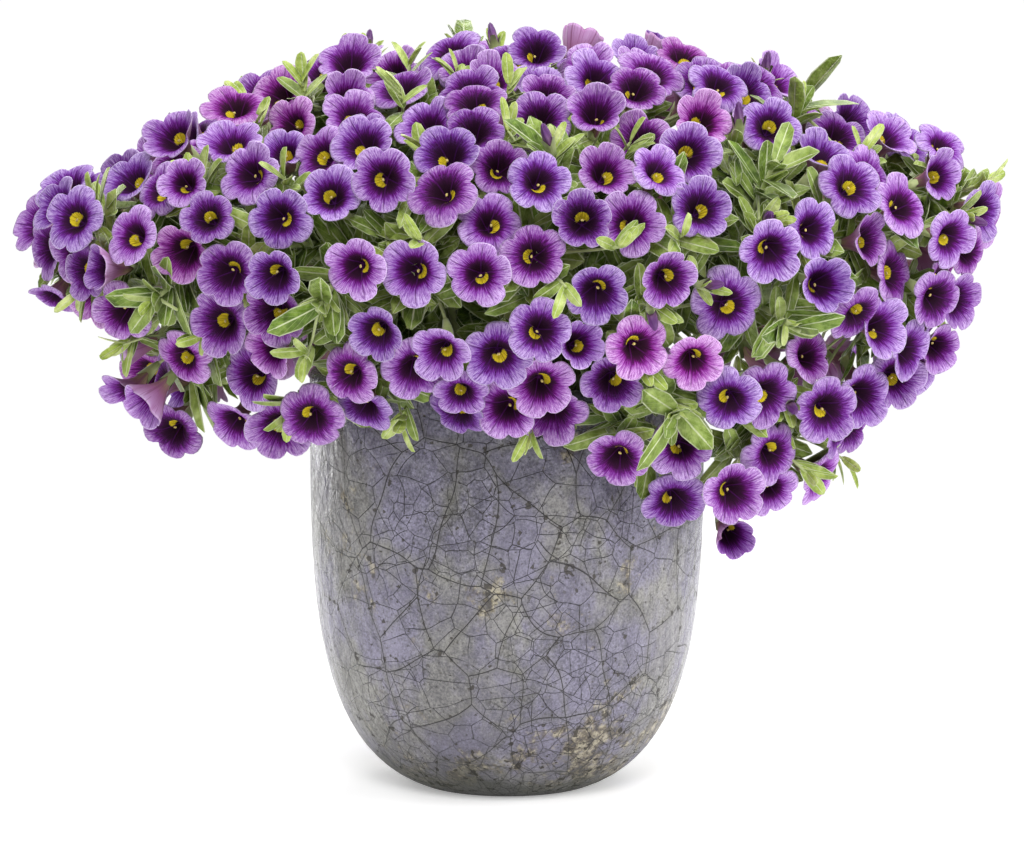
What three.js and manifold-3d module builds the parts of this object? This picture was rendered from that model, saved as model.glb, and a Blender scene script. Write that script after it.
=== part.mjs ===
// A calibrachoa in full bloom, planted in a round glazed pot.
//
// Millimetres, +Z up. The origin is the centre of the pot's foot, and -Y is the plant's best side.
// The pot is filled with potting mix. Stems stand in plain holes in the mix and fan out into a wide mound:
// flowering stems carry trumpet blooms with five lobes on thin stalks, and young shoots carry leaves alone.
// One rule places every stem, bloom and leaf over the mound, and a fixed hash stands in for chance.
import * as THREE from "three";
import { mergeVertices } from "three/addons/utils/BufferGeometryUtils.js";
import Module from "manifold-3d";

const wasm = await Module();
wasm.setup();

// ---- pot and potting mix ----
const POT_HEIGHT = 200;
const POT_RADIUS = 94.5;
const POT_WALL = 7;
const POT_FLOOR = 9;
const POT_SIDES = 32;
const BELLY_HEIGHT = 165; // above this the pot's side stands straight
const BELLY_DEPTH = 170; // where the belly's curve would close if the foot didn't cut it off
const BELLY_POWER = 3.1; // 2 would be an ellipse, more is squarer
const BELLY_RINGS = 6;
const LIP_DROP = 3; // the lip is rounded over this height
const LIP_RINGS = 3;
const MIX_TOP = 187;
const SEAT_GAP = 0.3; // between the mix and the pot, and between a stem and its hole
const HOLE_DEPTH = 20;
const HOLE_SPREAD = 70; // the holes lie within this radius

// ---- plant ----
const SITE_SPACING = 22.4; // between the middles of neighbouring blooms
const SITE_TRIES = 16000;
const FLOWERING_STEMS = 42;
const TIP_SPACING = 53; // between the tips of neighbouring flowering stems
const LEAFY_SHOOTS = 14;
const SHOOT_SPACING = 62; // between the tips of neighbouring young shoots
const SHOOT_TO_STEM = 26; // from a young shoot's tip to the nearest flowering stem's
const STEM_RADIUS = 2;
const TIP_RADIUS = 1.8;
const STEM_SIDES = 3;
const STEM_TRIES = 60;
const STEEPNESS = [0.36, 0.54]; // how far a stem rises before it bends, as a share of its span
const HUB_DEPTH = 44; // under the mound's surface, where a stem starts to branch
const END_DEPTH = 22; // where a flowering stem's last stalk leaves it
const SHOOT_RISE = [0, 14]; // how far a young shoot's tip stands out of the mound
const STALK_RADIUS = 0.7;
const BLOOM_RADIUS = 16.2;
const BLOOM_SIZES = [0.9, 1.06];
const BLOOM_TRIES = 40;
const TRIES_AT_FULL_SIZE = 24;
const CROWDED_SIZE = 0.85; // of a bloom that finds no room at its full size
const BLOOM_TILT = [4, 26]; // degrees from the mound's normal
const BLOOM_RISE = [-8, 8]; // from the mound's surface
const LOBES = 5;
const NOTCH = 0.84; // share of a bloom's radius that is left between two lobes
const THROAT_DEPTH = 4.5;
const FLARE_DEPTH = 7.5;
const TUBE_RADIUS = 2.6;
const LEAF_LENGTH = 24;
const LEAF_WIDTH = 9.5;
const LEAF_THICKNESS = 1.1;
const LEAF_SIZES = [0.85, 1.1];
const LEAF_TRIES = 10;
const LEAF_SHARE = 0.11; // share of the blooms that have a leaf beside them
const SHOOT_LEAVES = 5;
const CLEARANCE = 1.0;

// What each draw of chance is for.
const FOR = { down: 1, turn: 2, tilt: 3, lean: 4, size: 5, rise: 6, joint: 7, spin: 16 };
Object.assign(FOR, { leafTurn: 9, slope: 10, length: 11, width: 12, root: 13, leaf: 14, steepness: 15 });

// ---- small helpers ----
const v = (x, y, z) => new THREE.Vector3(x, y, z);
const UP = v(0, 0, 1);
const TURN = 2 * Math.PI;
const radians = (degrees) => (degrees * Math.PI) / 180;
const within = (low, high, value) => Math.max(low, Math.min(high, value));
const along = (from, direction, distance) => from.clone().addScaledVector(direction, distance);
const mix = (from, to, share) => from.clone().lerp(to, share);

// A number from 0 to 1 that depends only on which item it is and on what it is drawn for.
function chance(item, purpose) {
  let h = Math.imul(item + 1, 374761393) + Math.imul(purpose + 1, 668265263);
  h = Math.imul(h ^ (h >>> 13), 1274126177);
  h = Math.imul(h ^ (h >>> 15), 2246822519);
  return ((h ^ (h >>> 16)) >>> 0) / 4294967296;
}
const between = ([low, high], item, purpose) => low + (high - low) * chance(item, purpose);

// A unit vector square to an axis, turned round it by an angle.
function sideways(axis, turn) {
  const a = v(0, 0, 0).crossVectors(axis, Math.abs(axis.z) < 0.9 ? UP : v(1, 0, 0)).normalize();
  const b = v(0, 0, 0).crossVectors(axis, a);
  return a.multiplyScalar(Math.cos(turn)).addScaledVector(b, Math.sin(turn));
}

// ---- the mound's surface ----
// From its top down to its hanging hem: the share of its reach, and the height above the ground.
const MOUND = [
  [0.0, 346],
  [0.28, 345],
  [0.5, 338],
  [0.68, 325],
  [0.86, 306],
  [0.98, 284],
  [1.0, 258],
  [0.93, 230],
  [0.83, 205],
  [0.72, 187],
];
const HEM = MOUND.length - 1;
const WIDEST_HEIGHT = 258;
const MEAN_REACH = 190;

// The plant reaches further to its left and right than to its front and back, and hangs lowest front right.
function bump(turn, centre, width) {
  const off = turn - radians(centre);
  return Math.exp(-((Math.atan2(Math.sin(off), Math.cos(off)) / radians(width)) ** 2));
}
const reach = (turn) => 158 + 62 * bump(turn, 184, 44) + 62 * bump(turn, 2, 40) + 10 * bump(turn, -90, 50);
const hang = (turn) => 1 + 0.72 * bump(turn, -38, 30) + 0.1 * bump(turn, 200, 40);
// Where single branches stand out of the mound or leave a dent in it.
const SWELLS = [
  { at: v(-215, 0, 262), shift: v(-12, 0, 0), width: 30 },
  { at: v(-195, -35, 218), shift: v(34, 0, 0), width: 28 },
  { at: v(-195, 35, 218), shift: v(34, 0, 0), width: 28 },
  { at: v(-178, -60, 190), shift: v(-22, -4, 0), width: 26 },
  { at: v(-175, 0, 310), shift: v(14, 0, -20), width: 48 },
  { at: v(-85, -10, 345), shift: v(0, 0, 5), width: 45 },
  { at: v(212, -20, 292), shift: v(14, 0, 6), width: 28 },
  { at: v(214, -10, 250), shift: v(-10, 0, 0), width: 20 },
  { at: v(205, -20, 216), shift: v(16, 0, 4), width: 22 },
  { at: v(175, -75, 180), shift: v(-14, 0, 0), width: 24 },
  { at: v(140, -70, 165), shift: v(5, -8, 0), width: 42 },
];

// The share of reach and the height at a way down the mound, on a smooth curve through its points.
function profile(down) {
  const i = Math.min(Math.floor(down), HEM - 1);
  const t = down - i;
  const [a, b, c, d] = [i - 1, i, i + 1, i + 2].map((k) => MOUND[within(0, HEM, k)]);
  const spline = (axis) =>
    b[axis] +
    0.5 * t * (c[axis] - a[axis] + t * (2 * a[axis] - 5 * b[axis] + 4 * c[axis] - d[axis])) +
    0.5 * t ** 3 * (3 * (b[axis] - c[axis]) + d[axis] - a[axis]);
  return [spline(0), spline(1)];
}

function moundPoint(down, turn) {
  const [share, height] = profile(within(0, HEM, down));
  const fall = Math.max(0, WIDEST_HEIGHT - height) * (hang(turn) - 1);
  const r = share * reach(turn);
  const base = v(r * Math.cos(turn), r * Math.sin(turn), height - fall);
  const point = base.clone();
  for (const { at, shift, width } of SWELLS) {
    point.addScaledVector(shift, Math.exp(-base.distanceToSquared(at) / (width * width)));
  }
  return point;
}

function moundNormal(down, turn) {
  const d = within(0.1, HEM - 0.1, down);
  const downwards = moundPoint(d + 0.08, turn).sub(moundPoint(d - 0.08, turn));
  const round = moundPoint(d, turn + 0.03).sub(moundPoint(d, turn - 0.03));
  return downwards.cross(round).normalize();
}

// The way down at which a given share of the mound's surface lies above.
const AREA_STEPS = 180;
const areas = [0];
for (let i = 0; i < AREA_STEPS; i++) {
  const [r0, z0] = profile((i * HEM) / AREA_STEPS);
  const [r1, z1] = profile(((i + 1) * HEM) / AREA_STEPS);
  areas.push(areas[i] + (r0 + r1) * Math.hypot((r1 - r0) * MEAN_REACH, z1 - z0));
}
function downAt(share) {
  const wanted = share * areas[AREA_STEPS];
  const i = areas.findIndex((area) => area > wanted);
  return ((i - 1 + (wanted - areas[i - 1]) / (areas[i] - areas[i - 1])) * HEM) / AREA_STEPS;
}

// ---- room for each piece ----
// What stands in the mound already: each piece has samples on its edges, and says what points it holds.
const placed = [];
const RIM_SAMPLES = 28;
const LEAF_SAMPLES = 9;
const STALK_STEP = 2;
const POT_CLEARANCE = 1.5;

function limbPiece(stem, centre, axis, radius) {
  const samples = [];
  for (let i = 0; i < RIM_SAMPLES; i++) {
    samples.push(along(centre, sideways(axis, (i * TURN) / RIM_SAMPLES), radius * 0.98));
  }
  const holds = (point, margin) => {
    const off = point.clone().sub(centre);
    const height = off.dot(axis);
    const out = Math.sqrt(Math.max(0, off.lengthSq() - height * height));
    const front = -THROAT_DEPTH * Math.max(0, 1 - out / radius);
    const back = -FLARE_DEPTH * within(0, 1, (radius - out) / (radius - TUBE_RADIUS));
    return out < radius + margin && height < front + margin && height > back - margin;
  };
  return { stem, centre, bound: radius, samples, thickness: 0, holds };
}

function stalkPiece(stem, from, to, fromRadius, toRadius) {
  const line = to.clone().sub(from);
  const length = line.length();
  const samples = [];
  const steps = Math.ceil(length / STALK_STEP);
  for (let i = 0; i <= steps; i++) samples.push(mix(from, to, i / steps));
  const holds = (point, margin) => {
    const t = within(0, 1, point.clone().sub(from).dot(line) / (length * length));
    return point.distanceTo(mix(from, to, t)) < fromRadius + (toRadius - fromRadius) * t + margin;
  };
  const thickness = Math.max(fromRadius, toRadius);
  const centre = mix(from, to, 0.5);
  return { stem, centre, bound: length / 2 + thickness, samples, thickness, holds, joins: true };
}

function leafPiece(stem, { root, direction, face, side, length, width }) {
  const halfWidth = (x) => (width / 2) * Math.sqrt(Math.max(0, Math.sin(Math.PI * (0.08 + 0.92 * x))));
  const samples = [];
  for (let i = 1; i <= LEAF_SAMPLES; i++) {
    const x = i / LEAF_SAMPLES;
    const middle = along(root, direction, length * x);
    samples.push(middle, along(middle, side, halfWidth(x)), along(middle, side, -halfWidth(x)));
  }
  const holds = (point, margin) => {
    const off = point.clone().sub(root);
    const x = off.dot(direction);
    const level = Math.abs(off.dot(face)) < LEAF_THICKNESS / 2 + margin;
    const reaches = x > -margin && x < length + margin;
    return level && reaches && Math.abs(off.dot(side)) < halfWidth(within(0, 1, x / length)) + margin;
  };
  const centre = along(root, direction, length / 2);
  return { stem, centre, bound: length / 2, samples, thickness: LEAF_THICKNESS / 2, holds };
}

function meets(one, other) {
  if (one.centre.distanceTo(other.centre) > one.bound + other.bound + 2 * CLEARANCE) return false;
  return (
    one.samples.some((p) => other.holds(p, CLEARANCE + one.thickness)) ||
    other.samples.some((p) => one.holds(p, CLEARANCE + other.thickness))
  );
}
const overPot = (p) => Math.hypot(p.x, p.y) > POT_RADIUS + POT_CLEARANCE || p.z > POT_HEIGHT + POT_CLEARANCE;
// Stems and stalks of one plant stem join each other, and everything else keeps clear.
const isFree = (piece) =>
  placed.every((other) => (piece.joins && other.joins && piece.stem === other.stem) || !meets(piece, other));
const fits = (pieces) => pieces.every((piece) => piece.samples.every(overPot) && isFree(piece));

// ---- sites and stems ----
const sites = [];
for (let i = 0; i < SITE_TRIES; i++) {
  const down = downAt(chance(i, FOR.down));
  const turn = TURN * chance(i, FOR.turn);
  const place = moundPoint(down, turn);
  if (sites.every((site) => site.place.distanceTo(place) > SITE_SPACING)) {
    sites.push({ id: i, down, turn, place, normal: moundNormal(down, turn) });
  }
}

// Flowering stems share the mound out between them, and young shoots stand among them.
const stems = [];
function addStems(count, leafy, spacing, spacingToOther) {
  const last = stems.length + count;
  for (const site of sites) {
    if (stems.length === last) return;
    const room = (stem) => {
      const least = stem.leafy === leafy ? spacing : spacingToOther;
      return stem.tip.place.distanceTo(site.place) > least;
    };
    if (stems.every(room)) stems.push({ index: stems.length, tip: site, leafy, sites: [] });
  }
}
addStems(FLOWERING_STEMS, false, TIP_SPACING, 0);
addStems(LEAFY_SHOOTS, true, SHOOT_SPACING, SHOOT_TO_STEM);
const floweringStems = stems.filter((stem) => !stem.leafy);
const leafyShoots = stems.filter((stem) => stem.leafy);
for (const site of sites) {
  if (leafyShoots.some((stem) => stem.tip === site)) continue;
  const away = (stem) => stem.tip.place.distanceTo(site.place);
  floweringStems.reduce((best, stem) => (away(stem) < away(best) ? stem : best)).sites.push(site);
}

// A stem rises from its hole, bends outward over the rim, and branches between its hub and its end.
const OVER_RIM = POT_HEIGHT + 12;
const PAST_RIM = POT_RADIUS + 10;
const LEAST_LIFT = OVER_RIM + 14 - MIX_TOP;
function pastRim(point) {
  const r = Math.hypot(point.x, point.y);
  if (point.z > OVER_RIM || r > PAST_RIM) return point;
  return v((point.x * PAST_RIM) / r, (point.y * PAST_RIM) / r, point.z);
}
function stemRoute({ hub, end, tip }, mouth, steepness) {
  const span = mouth.distanceTo(hub);
  const arrival = mix(tip.normal, UP, -0.5).normalize();
  const lifted = along(mouth, UP, Math.max(steepness * span, LEAST_LIFT));
  const before = along(hub, arrival, (steepness - 0.8) * span);
  const bend = new THREE.CubicBezierCurve3(mouth, lifted, before, hub).getPoints(3);
  return [along(mouth, UP, SEAT_GAP - HOLE_DEPTH), ...bend, end];
}
for (const stem of stems) {
  const { down, turn, place, normal } = stem.tip;
  const above = stems.filter((other) => other.tip.down < down).length;
  const holeReach = HOLE_SPREAD * Math.sqrt((above + 0.4) / stems.length);
  stem.hub = pastRim(along(place, normal, -HUB_DEPTH));
  const rise = between(SHOOT_RISE, stem.index, FOR.rise);
  stem.end = stem.leafy ? along(place, normal, rise) : pastRim(along(place, normal, -END_DEPTH));
  for (let attempt = 0; attempt < STEM_TRIES; attempt++) {
    const swing = turn + (attempt % 2 ? -0.025 : 0.025) * attempt;
    const mouth = v(holeReach * Math.cos(swing), holeReach * Math.sin(swing), MIX_TOP);
    stem.route = stemRoute(stem, mouth, between(STEEPNESS, stem.index * STEM_TRIES + attempt, FOR.steepness));
    const last = stem.route.length - 1;
    stem.radii = stem.route.map((_, i) => STEM_RADIUS + ((TIP_RADIUS - STEM_RADIUS) * i) / last);
    const { route, radii } = stem;
    const pieces = route.slice(1).map((to, i) => stalkPiece(stem, route[i], to, radii[i], radii[i + 1]));
    if (!pieces.every(isFree)) continue;
    placed.push(...pieces);
    break;
  }
}

// ---- blooms ----
// Blooms turn outward, and those on the best side a little more towards it.
function towardsLight({ x, y }) {
  const front = within(0, 1, (90 - y) / 80);
  return v((0.4 * x) / MEAN_REACH, (0.4 * y) / MEAN_REACH + 0.2 - 0.8 * front, 0);
}
// Each bloom tries heights and tilts until it clears its neighbours.
const blooms = [];
function growBloom(stem, site) {
  for (let attempt = 0; attempt < BLOOM_TRIES; attempt++) {
    const key = site.id * BLOOM_TRIES + attempt;
    const tilt = radians(between(BLOOM_TILT, key, FOR.tilt));
    const lean = sideways(site.normal, TURN * chance(key, FOR.lean));
    const axis = site.normal.clone().multiplyScalar(Math.cos(tilt)).addScaledVector(lean, Math.sin(tilt));
    axis.add(towardsLight(site.place)).normalize();
    const size = between(BLOOM_SIZES, site.id, FOR.size);
    const radius = BLOOM_RADIUS * size * (attempt < TRIES_AT_FULL_SIZE ? 1 : CROWDED_SIZE);
    const centre = along(site.place, site.normal, between(BLOOM_RISE, key, FOR.rise));
    const flare = along(centre, axis, -FLARE_DEPTH);
    const joint = mix(stem.hub, stem.end, site === stem.tip ? 0.97 : between([0.1, 0.95], key, FOR.joint));
    const limb = limbPiece(stem, centre, axis, radius);
    const stalk = stalkPiece(stem, flare, joint, TUBE_RADIUS, STALK_RADIUS);
    if (!fits([limb, stalk])) continue;
    placed.push(limb, stalk);
    const spin = TURN * chance(site.id, FOR.spin);
    blooms.push({ stem, id: site.id, centre, axis, radius, flare, joint, spin });
    return;
  }
}
for (const stem of floweringStems) {
  for (const site of stem.sites) growBloom(stem, site);
}

// ---- leaves ----
// A leaf grows from its root at a slope to an axis, in the first direction that has room for it.
const leaves = [];
function growLeaf(stem, root, axis, item, size, rise) {
  for (let attempt = 0; attempt < LEAF_TRIES; attempt++) {
    const key = item * LEAF_TRIES + attempt;
    const slope = radians(rise + between([-15, 15], key, FOR.slope));
    const out = sideways(axis, TURN * chance(key, FOR.leafTurn));
    const direction = out.multiplyScalar(Math.cos(slope)).addScaledVector(axis, Math.sin(slope));
    const side = v(0, 0, 0).crossVectors(axis, direction).normalize();
    const face = v(0, 0, 0).crossVectors(direction, side);
    const length = LEAF_LENGTH * size * between(LEAF_SIZES, key, FOR.length);
    const width = LEAF_WIDTH * size * between(LEAF_SIZES, key, FOR.width);
    const leaf = { stem, root, direction, face, side, length, width };
    const piece = leafPiece(stem, leaf);
    if (!piece.samples.every(overPot)) continue;
    piece.samples = piece.samples.filter((p) => p.distanceTo(root) > 5);
    const free = placed.every((other) => (other.stem === stem && other.joins) || !meets(piece, other));
    if (!free) continue;
    placed.push(piece);
    leaves.push(leaf);
    return;
  }
}
for (const { stem, id, axis, flare, joint } of blooms) {
  if (chance(id, FOR.leaf) > LEAF_SHARE) continue;
  const share = between([7, 13], id, FOR.root) / flare.distanceTo(joint);
  growLeaf(stem, mix(flare, joint, Math.min(0.7, share)), axis, id, 1, 42);
}
for (const stem of leafyShoots) {
  for (let i = 0; i < SHOOT_LEAVES; i++) {
    const share = (i + 0.5) / SHOOT_LEAVES;
    const root = mix(stem.hub, stem.end, 0.25 + 0.7 * share);
    const item = SITE_TRIES + stem.index * SHOOT_LEAVES + i;
    growLeaf(stem, root, stem.tip.normal, item, 1.1 - 0.4 * share, 15 + 50 * share);
  }
}

// ---- solids ----
// A closed solid from rings of points, each of one point or of several that run the same way round.
function loft(rings) {
  const faces = [];
  const cap = (first, count, turned) => {
    for (let i = 1; i < count - 1; i++) {
      faces.push(turned ? [first, first + i + 1, first + i] : [first, first + i, first + i + 1]);
    }
  };
  // Between two rings, the one that lags behind takes the next triangle.
  const band = (a, m, b, n) => {
    let i = 0;
    let j = 0;
    while ((m > 1 && i < m) || (n > 1 && j < n)) {
      const near = m > 1 && i < m && (n === 1 || j >= n || (i + 0.5) / m <= (j + 0.5) / n);
      if (near) faces.push([a + i, a + ((i + 1) % m), b + (j % n)]);
      else faces.push([a + (i % m), b + ((j + 1) % n), b + j]);
      if (near) i++;
      else j++;
    }
  };
  let start = 0;
  cap(0, rings[0].length, true);
  for (let k = 1; k < rings.length; k++) {
    const next = start + rings[k - 1].length;
    band(start, rings[k - 1].length, next, rings[k].length);
    start = next;
  }
  cap(start, rings[rings.length - 1].length, false);
  return solidFrom(rings.flat().flatMap((p) => [p.x, p.y, p.z]), faces.flat());
}
function solidFrom(positions, indices) {
  const vertProperties = Float32Array.from(positions);
  const triVerts = Uint32Array.from(indices);
  return new wasm.Manifold(new wasm.Mesh({ numProp: 3, vertProperties, triVerts }));
}

// Points round an axis, the first of them towards a given side.
function ring(centre, axis, towards, radius) {
  const first = towards.clone().addScaledVector(axis, -towards.dot(axis)).normalize();
  const points = [];
  for (let i = 0; i < STEM_SIDES; i++) {
    points.push(along(centre, first.clone().applyAxisAngle(axis, (TURN * i) / STEM_SIDES), radius));
  }
  return points;
}

// Limb with five lobes round a throat, narrowing behind into the tube and on into the stalk.
function bloomSolid({ centre, axis, radius, flare, joint, spin }) {
  const rim = [];
  for (let i = 0; i < 2 * LOBES; i++) {
    rim.push(along(centre, sideways(axis, spin + (i * Math.PI) / LOBES), radius * (i % 2 ? NOTCH : 1)));
  }
  const first = sideways(axis, spin);
  const line = flare.clone().sub(joint).normalize();
  const foot = ring(joint, line, first, STALK_RADIUS);
  const tube = ring(flare, axis, first, TUBE_RADIUS);
  return loft([foot, tube, rim, [along(centre, axis, -THROAT_DEPTH)]]);
}

// A blade, widest past its middle, whose root is sunk in what it grows from.
const LEAF_OUTLINE = [
  [0.3, 0.75],
  [0.68, 1],
];
const LEAF_SINK = 0.035; // these two are shares of its length
const LEAF_DROOP = 0.06;
function leafSolid({ root, direction, face, side, length, width }) {
  const at = (x, y, z) => along(along(along(root, direction, x * length), side, (y * width) / 2), face, z);
  const left = LEAF_OUTLINE.map(([x, y]) => at(x, y, 0)).reverse();
  const right = LEAF_OUTLINE.map(([x, y]) => at(x, -y, 0));
  const edge = [at(-LEAF_SINK, 0, 0), ...right, at(1, 0, -LEAF_DROOP * length), ...left];
  return loft([[at(0.5, 0, -LEAF_THICKNESS / 2)], edge, [at(0.5, 0, LEAF_THICKNESS / 2)]]);
}

function stemSolid({ route, radii }) {
  let towards = v(1, 0, 0);
  const rings = route.map((point, i) => {
    const after = route[Math.min(route.length - 1, i + 1)];
    const axis = i < 2 ? UP : after.clone().sub(route[i - 1]).normalize();
    towards = towards.clone().addScaledVector(axis, -towards.dot(axis)).normalize();
    return ring(point, axis, towards, radii[i]);
  });
  return loft(rings);
}

// The pot's side at a given inset from its glazed face, from the floor up.
function potSide(inset) {
  const floorHeight = inset > 0 ? POT_FLOOR + inset - POT_WALL : 0;
  const lowest = Math.asin(((BELLY_HEIGHT - floorHeight) / (BELLY_DEPTH - inset)) ** (BELLY_POWER / 2));
  const points = [];
  for (let i = 0; i <= BELLY_RINGS; i++) {
    const angle = lowest * (1 - i / BELLY_RINGS);
    const out = (POT_RADIUS - inset) * Math.cos(angle) ** (2 / BELLY_POWER);
    const fall = (BELLY_DEPTH - inset) * Math.sin(angle) ** (2 / BELLY_POWER);
    points.push(new THREE.Vector2(out, BELLY_HEIGHT - fall));
  }
  return points;
}
function turned(outline) {
  const geometry = new THREE.LatheGeometry(outline, POT_SIDES).rotateX(Math.PI / 2);
  geometry.deleteAttribute("normal");
  geometry.deleteAttribute("uv");
  return mergeVertices(geometry);
}
function potGeometry() {
  const lip = [];
  for (let i = 0; i <= LIP_RINGS; i++) {
    const angle = (Math.PI * i) / LIP_RINGS;
    const out = POT_RADIUS - (POT_WALL / 2) * (1 - Math.cos(angle));
    lip.push(new THREE.Vector2(out, POT_HEIGHT - LIP_DROP * (1 - Math.sin(angle))));
  }
  const foot = new THREE.Vector2(0, 0);
  const floor = new THREE.Vector2(0, POT_FLOOR);
  return turned([foot, ...potSide(0), ...lip, ...potSide(POT_WALL).reverse(), floor]);
}
// The mix fills the pot, with a plain hole for each stem.
function mixSolid() {
  const side = potSide(POT_WALL + SEAT_GAP);
  const edge = new THREE.Vector2(POT_RADIUS - POT_WALL - SEAT_GAP, MIX_TOP);
  const outline = [new THREE.Vector2(0, side[0].y), ...side, edge, new THREE.Vector2(0, MIX_TOP)];
  const { attributes, index } = turned(outline);
  let body = solidFrom(attributes.position.array, index.array);
  for (const { route } of stems) {
    const bottom = along(route[0], UP, -SEAT_GAP);
    const mouth = along(bottom, UP, 2 * HOLE_DEPTH);
    // A triangle's sides lie half its radius from its middle.
    const hole = [bottom, mouth].map((p) => ring(p, UP, v(1, 0, 0), STEM_RADIUS + 2 * SEAT_GAP));
    body = body.subtract(loft(hole));
  }
  return body;
}

// ---- scene ----
const SIMPLER_BY = 0.1; // corners closer than this are joined
const materials = {
  glaze: new THREE.MeshStandardMaterial({ color: 0x86838c, roughness: 0.25, metalness: 0 }),
  pottingMix: new THREE.MeshStandardMaterial({ color: 0x3a2a20, roughness: 0.95, metalness: 0 }),
  petals: new THREE.MeshStandardMaterial({ color: 0x84609a, roughness: 0.6, metalness: 0 }),
  foliage: new THREE.MeshStandardMaterial({ color: 0x76803f, roughness: 0.55, metalness: 0 }),
};
const group = new THREE.Group();
function addMesh(name, geometry, material) {
  const mesh = new THREE.Mesh(geometry, material);
  mesh.name = name;
  group.add(mesh);
}
function geometryOf(body) {
  const { vertProperties, triVerts } = body.getMesh();
  const geometry = new THREE.BufferGeometry();
  geometry.setAttribute("position", new THREE.BufferAttribute(vertProperties, 3));
  geometry.setIndex(new THREE.BufferAttribute(triVerts, 1));
  return geometry;
}
// What a stem carries is fused to it. Where joints enclose a bubble, it is filled.
function fuse(pieces) {
  const whole = wasm.Manifold.union(pieces).asOriginal().simplify(SIMPLER_BY);
  return whole.decompose().reduce((best, piece) => (piece.volume() > best.volume() ? piece : best));
}

addMesh("pot", potGeometry(), materials.glaze);
addMesh("potting_mix", geometryOf(mixSolid()), materials.pottingMix);
for (const stem of stems) {
  const own = (grown) => grown.filter((item) => item.stem === stem);
  const body = fuse([stemSolid(stem), ...own(blooms).map(bloomSolid), ...own(leaves).map(leafSolid)]);
  const name = `${stem.leafy ? "leafy_shoot" : "flowering_stem"}_${String(stem.index + 1).padStart(2, "0")}`;
  addMesh(name, geometryOf(body), stem.leafy ? materials.foliage : materials.petals);
}

export default group;
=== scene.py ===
import math

import bmesh
import bpy
import numpy as np
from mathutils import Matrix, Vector


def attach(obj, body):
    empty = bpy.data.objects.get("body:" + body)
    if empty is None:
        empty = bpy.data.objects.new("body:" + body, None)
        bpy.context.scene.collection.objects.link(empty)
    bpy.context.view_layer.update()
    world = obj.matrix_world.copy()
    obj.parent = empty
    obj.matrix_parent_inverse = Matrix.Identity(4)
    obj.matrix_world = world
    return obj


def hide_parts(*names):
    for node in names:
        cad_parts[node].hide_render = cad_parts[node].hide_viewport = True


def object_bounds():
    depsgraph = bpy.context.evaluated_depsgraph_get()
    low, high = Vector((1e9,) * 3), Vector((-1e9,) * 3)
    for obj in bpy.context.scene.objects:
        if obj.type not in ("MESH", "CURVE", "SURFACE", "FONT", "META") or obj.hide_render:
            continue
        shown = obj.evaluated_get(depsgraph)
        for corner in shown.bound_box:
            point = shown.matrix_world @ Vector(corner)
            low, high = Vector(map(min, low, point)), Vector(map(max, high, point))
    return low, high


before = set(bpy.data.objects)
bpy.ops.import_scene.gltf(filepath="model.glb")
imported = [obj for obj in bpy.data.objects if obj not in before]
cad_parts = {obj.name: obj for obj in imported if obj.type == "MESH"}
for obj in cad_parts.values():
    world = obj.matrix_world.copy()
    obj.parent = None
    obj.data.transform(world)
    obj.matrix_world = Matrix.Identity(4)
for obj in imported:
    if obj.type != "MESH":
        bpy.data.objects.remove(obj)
cad_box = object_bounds()

# ---- Floor, lights and camera ----
# A pale studio floor that fades into a white surround, under large soft lights. The camera stands about two
# metres away, a little above the mound, and looks slightly down on the middle of the plant.
FLOOR_RADIUS, FADES_FROM, FADES_TO = 2, 0.45, 1.1
WHITE, OFF_WHITE = (1, 1, 1), (0.95, 0.95, 0.95)
LOOK_DOWN, LENS, CAMERA_PLACE = math.radians(7.52), 159, (0.0024, -2.152, 0.457)
LIT_MIDDLE = Vector((0, 0, 0.22))


def mesh_from(name, bm):
    """Turns a bmesh into a mesh."""
    mesh = bpy.data.meshes.new(name)
    bm.to_mesh(mesh)
    bm.free()
    return mesh


def new_material(name):
    """A new material and its shader."""
    material = bpy.data.materials.new(name)
    material.use_nodes = True
    return material, material.node_tree.nodes["Principled BSDF"]


def join(socket, value):
    """Gives a node's socket a plain value, or what another node puts out."""
    value = getattr(value, "socket", value)
    if isinstance(value, bpy.types.NodeSocket):
        socket.id_data.links.new(value, socket)
    elif socket.type == "RGBA":
        socket.default_value = (*value, 1)
    elif socket.type == "VECTOR" and not isinstance(value, tuple):
        socket.default_value = (value,) * 3
    else:
        socket.default_value = value


def give(node, **inputs):
    """Gives a node its inputs by name. A low line stands for a space in the name."""
    for name, value in inputs.items():
        join(node.inputs[name.replace("_", " ")], value)


def new_node(tree, kind, settings=(), **inputs):
    """A new node with its settings and its inputs."""
    node = tree.nodes.new("ShaderNode" + kind)
    for name, setting in dict(settings).items():
        setattr(node, name, setting)
    give(node, **inputs)
    return node


def mix_shaders(share, *shaders):
    """Goes from one shader to another by a share."""
    made = new_node(share.id_data, "MixShader")
    for socket, value in zip(made.inputs, (share, *shaders)):
        join(socket, value)
    return made.outputs["Shader"]


bm = bmesh.new()
bmesh.ops.create_circle(bm, cap_ends=True, segments=64, radius=FLOOR_RADIUS)
floor = bpy.data.objects.new("floor", mesh_from("floor", bm))
bpy.context.collection.objects.link(floor)

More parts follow.
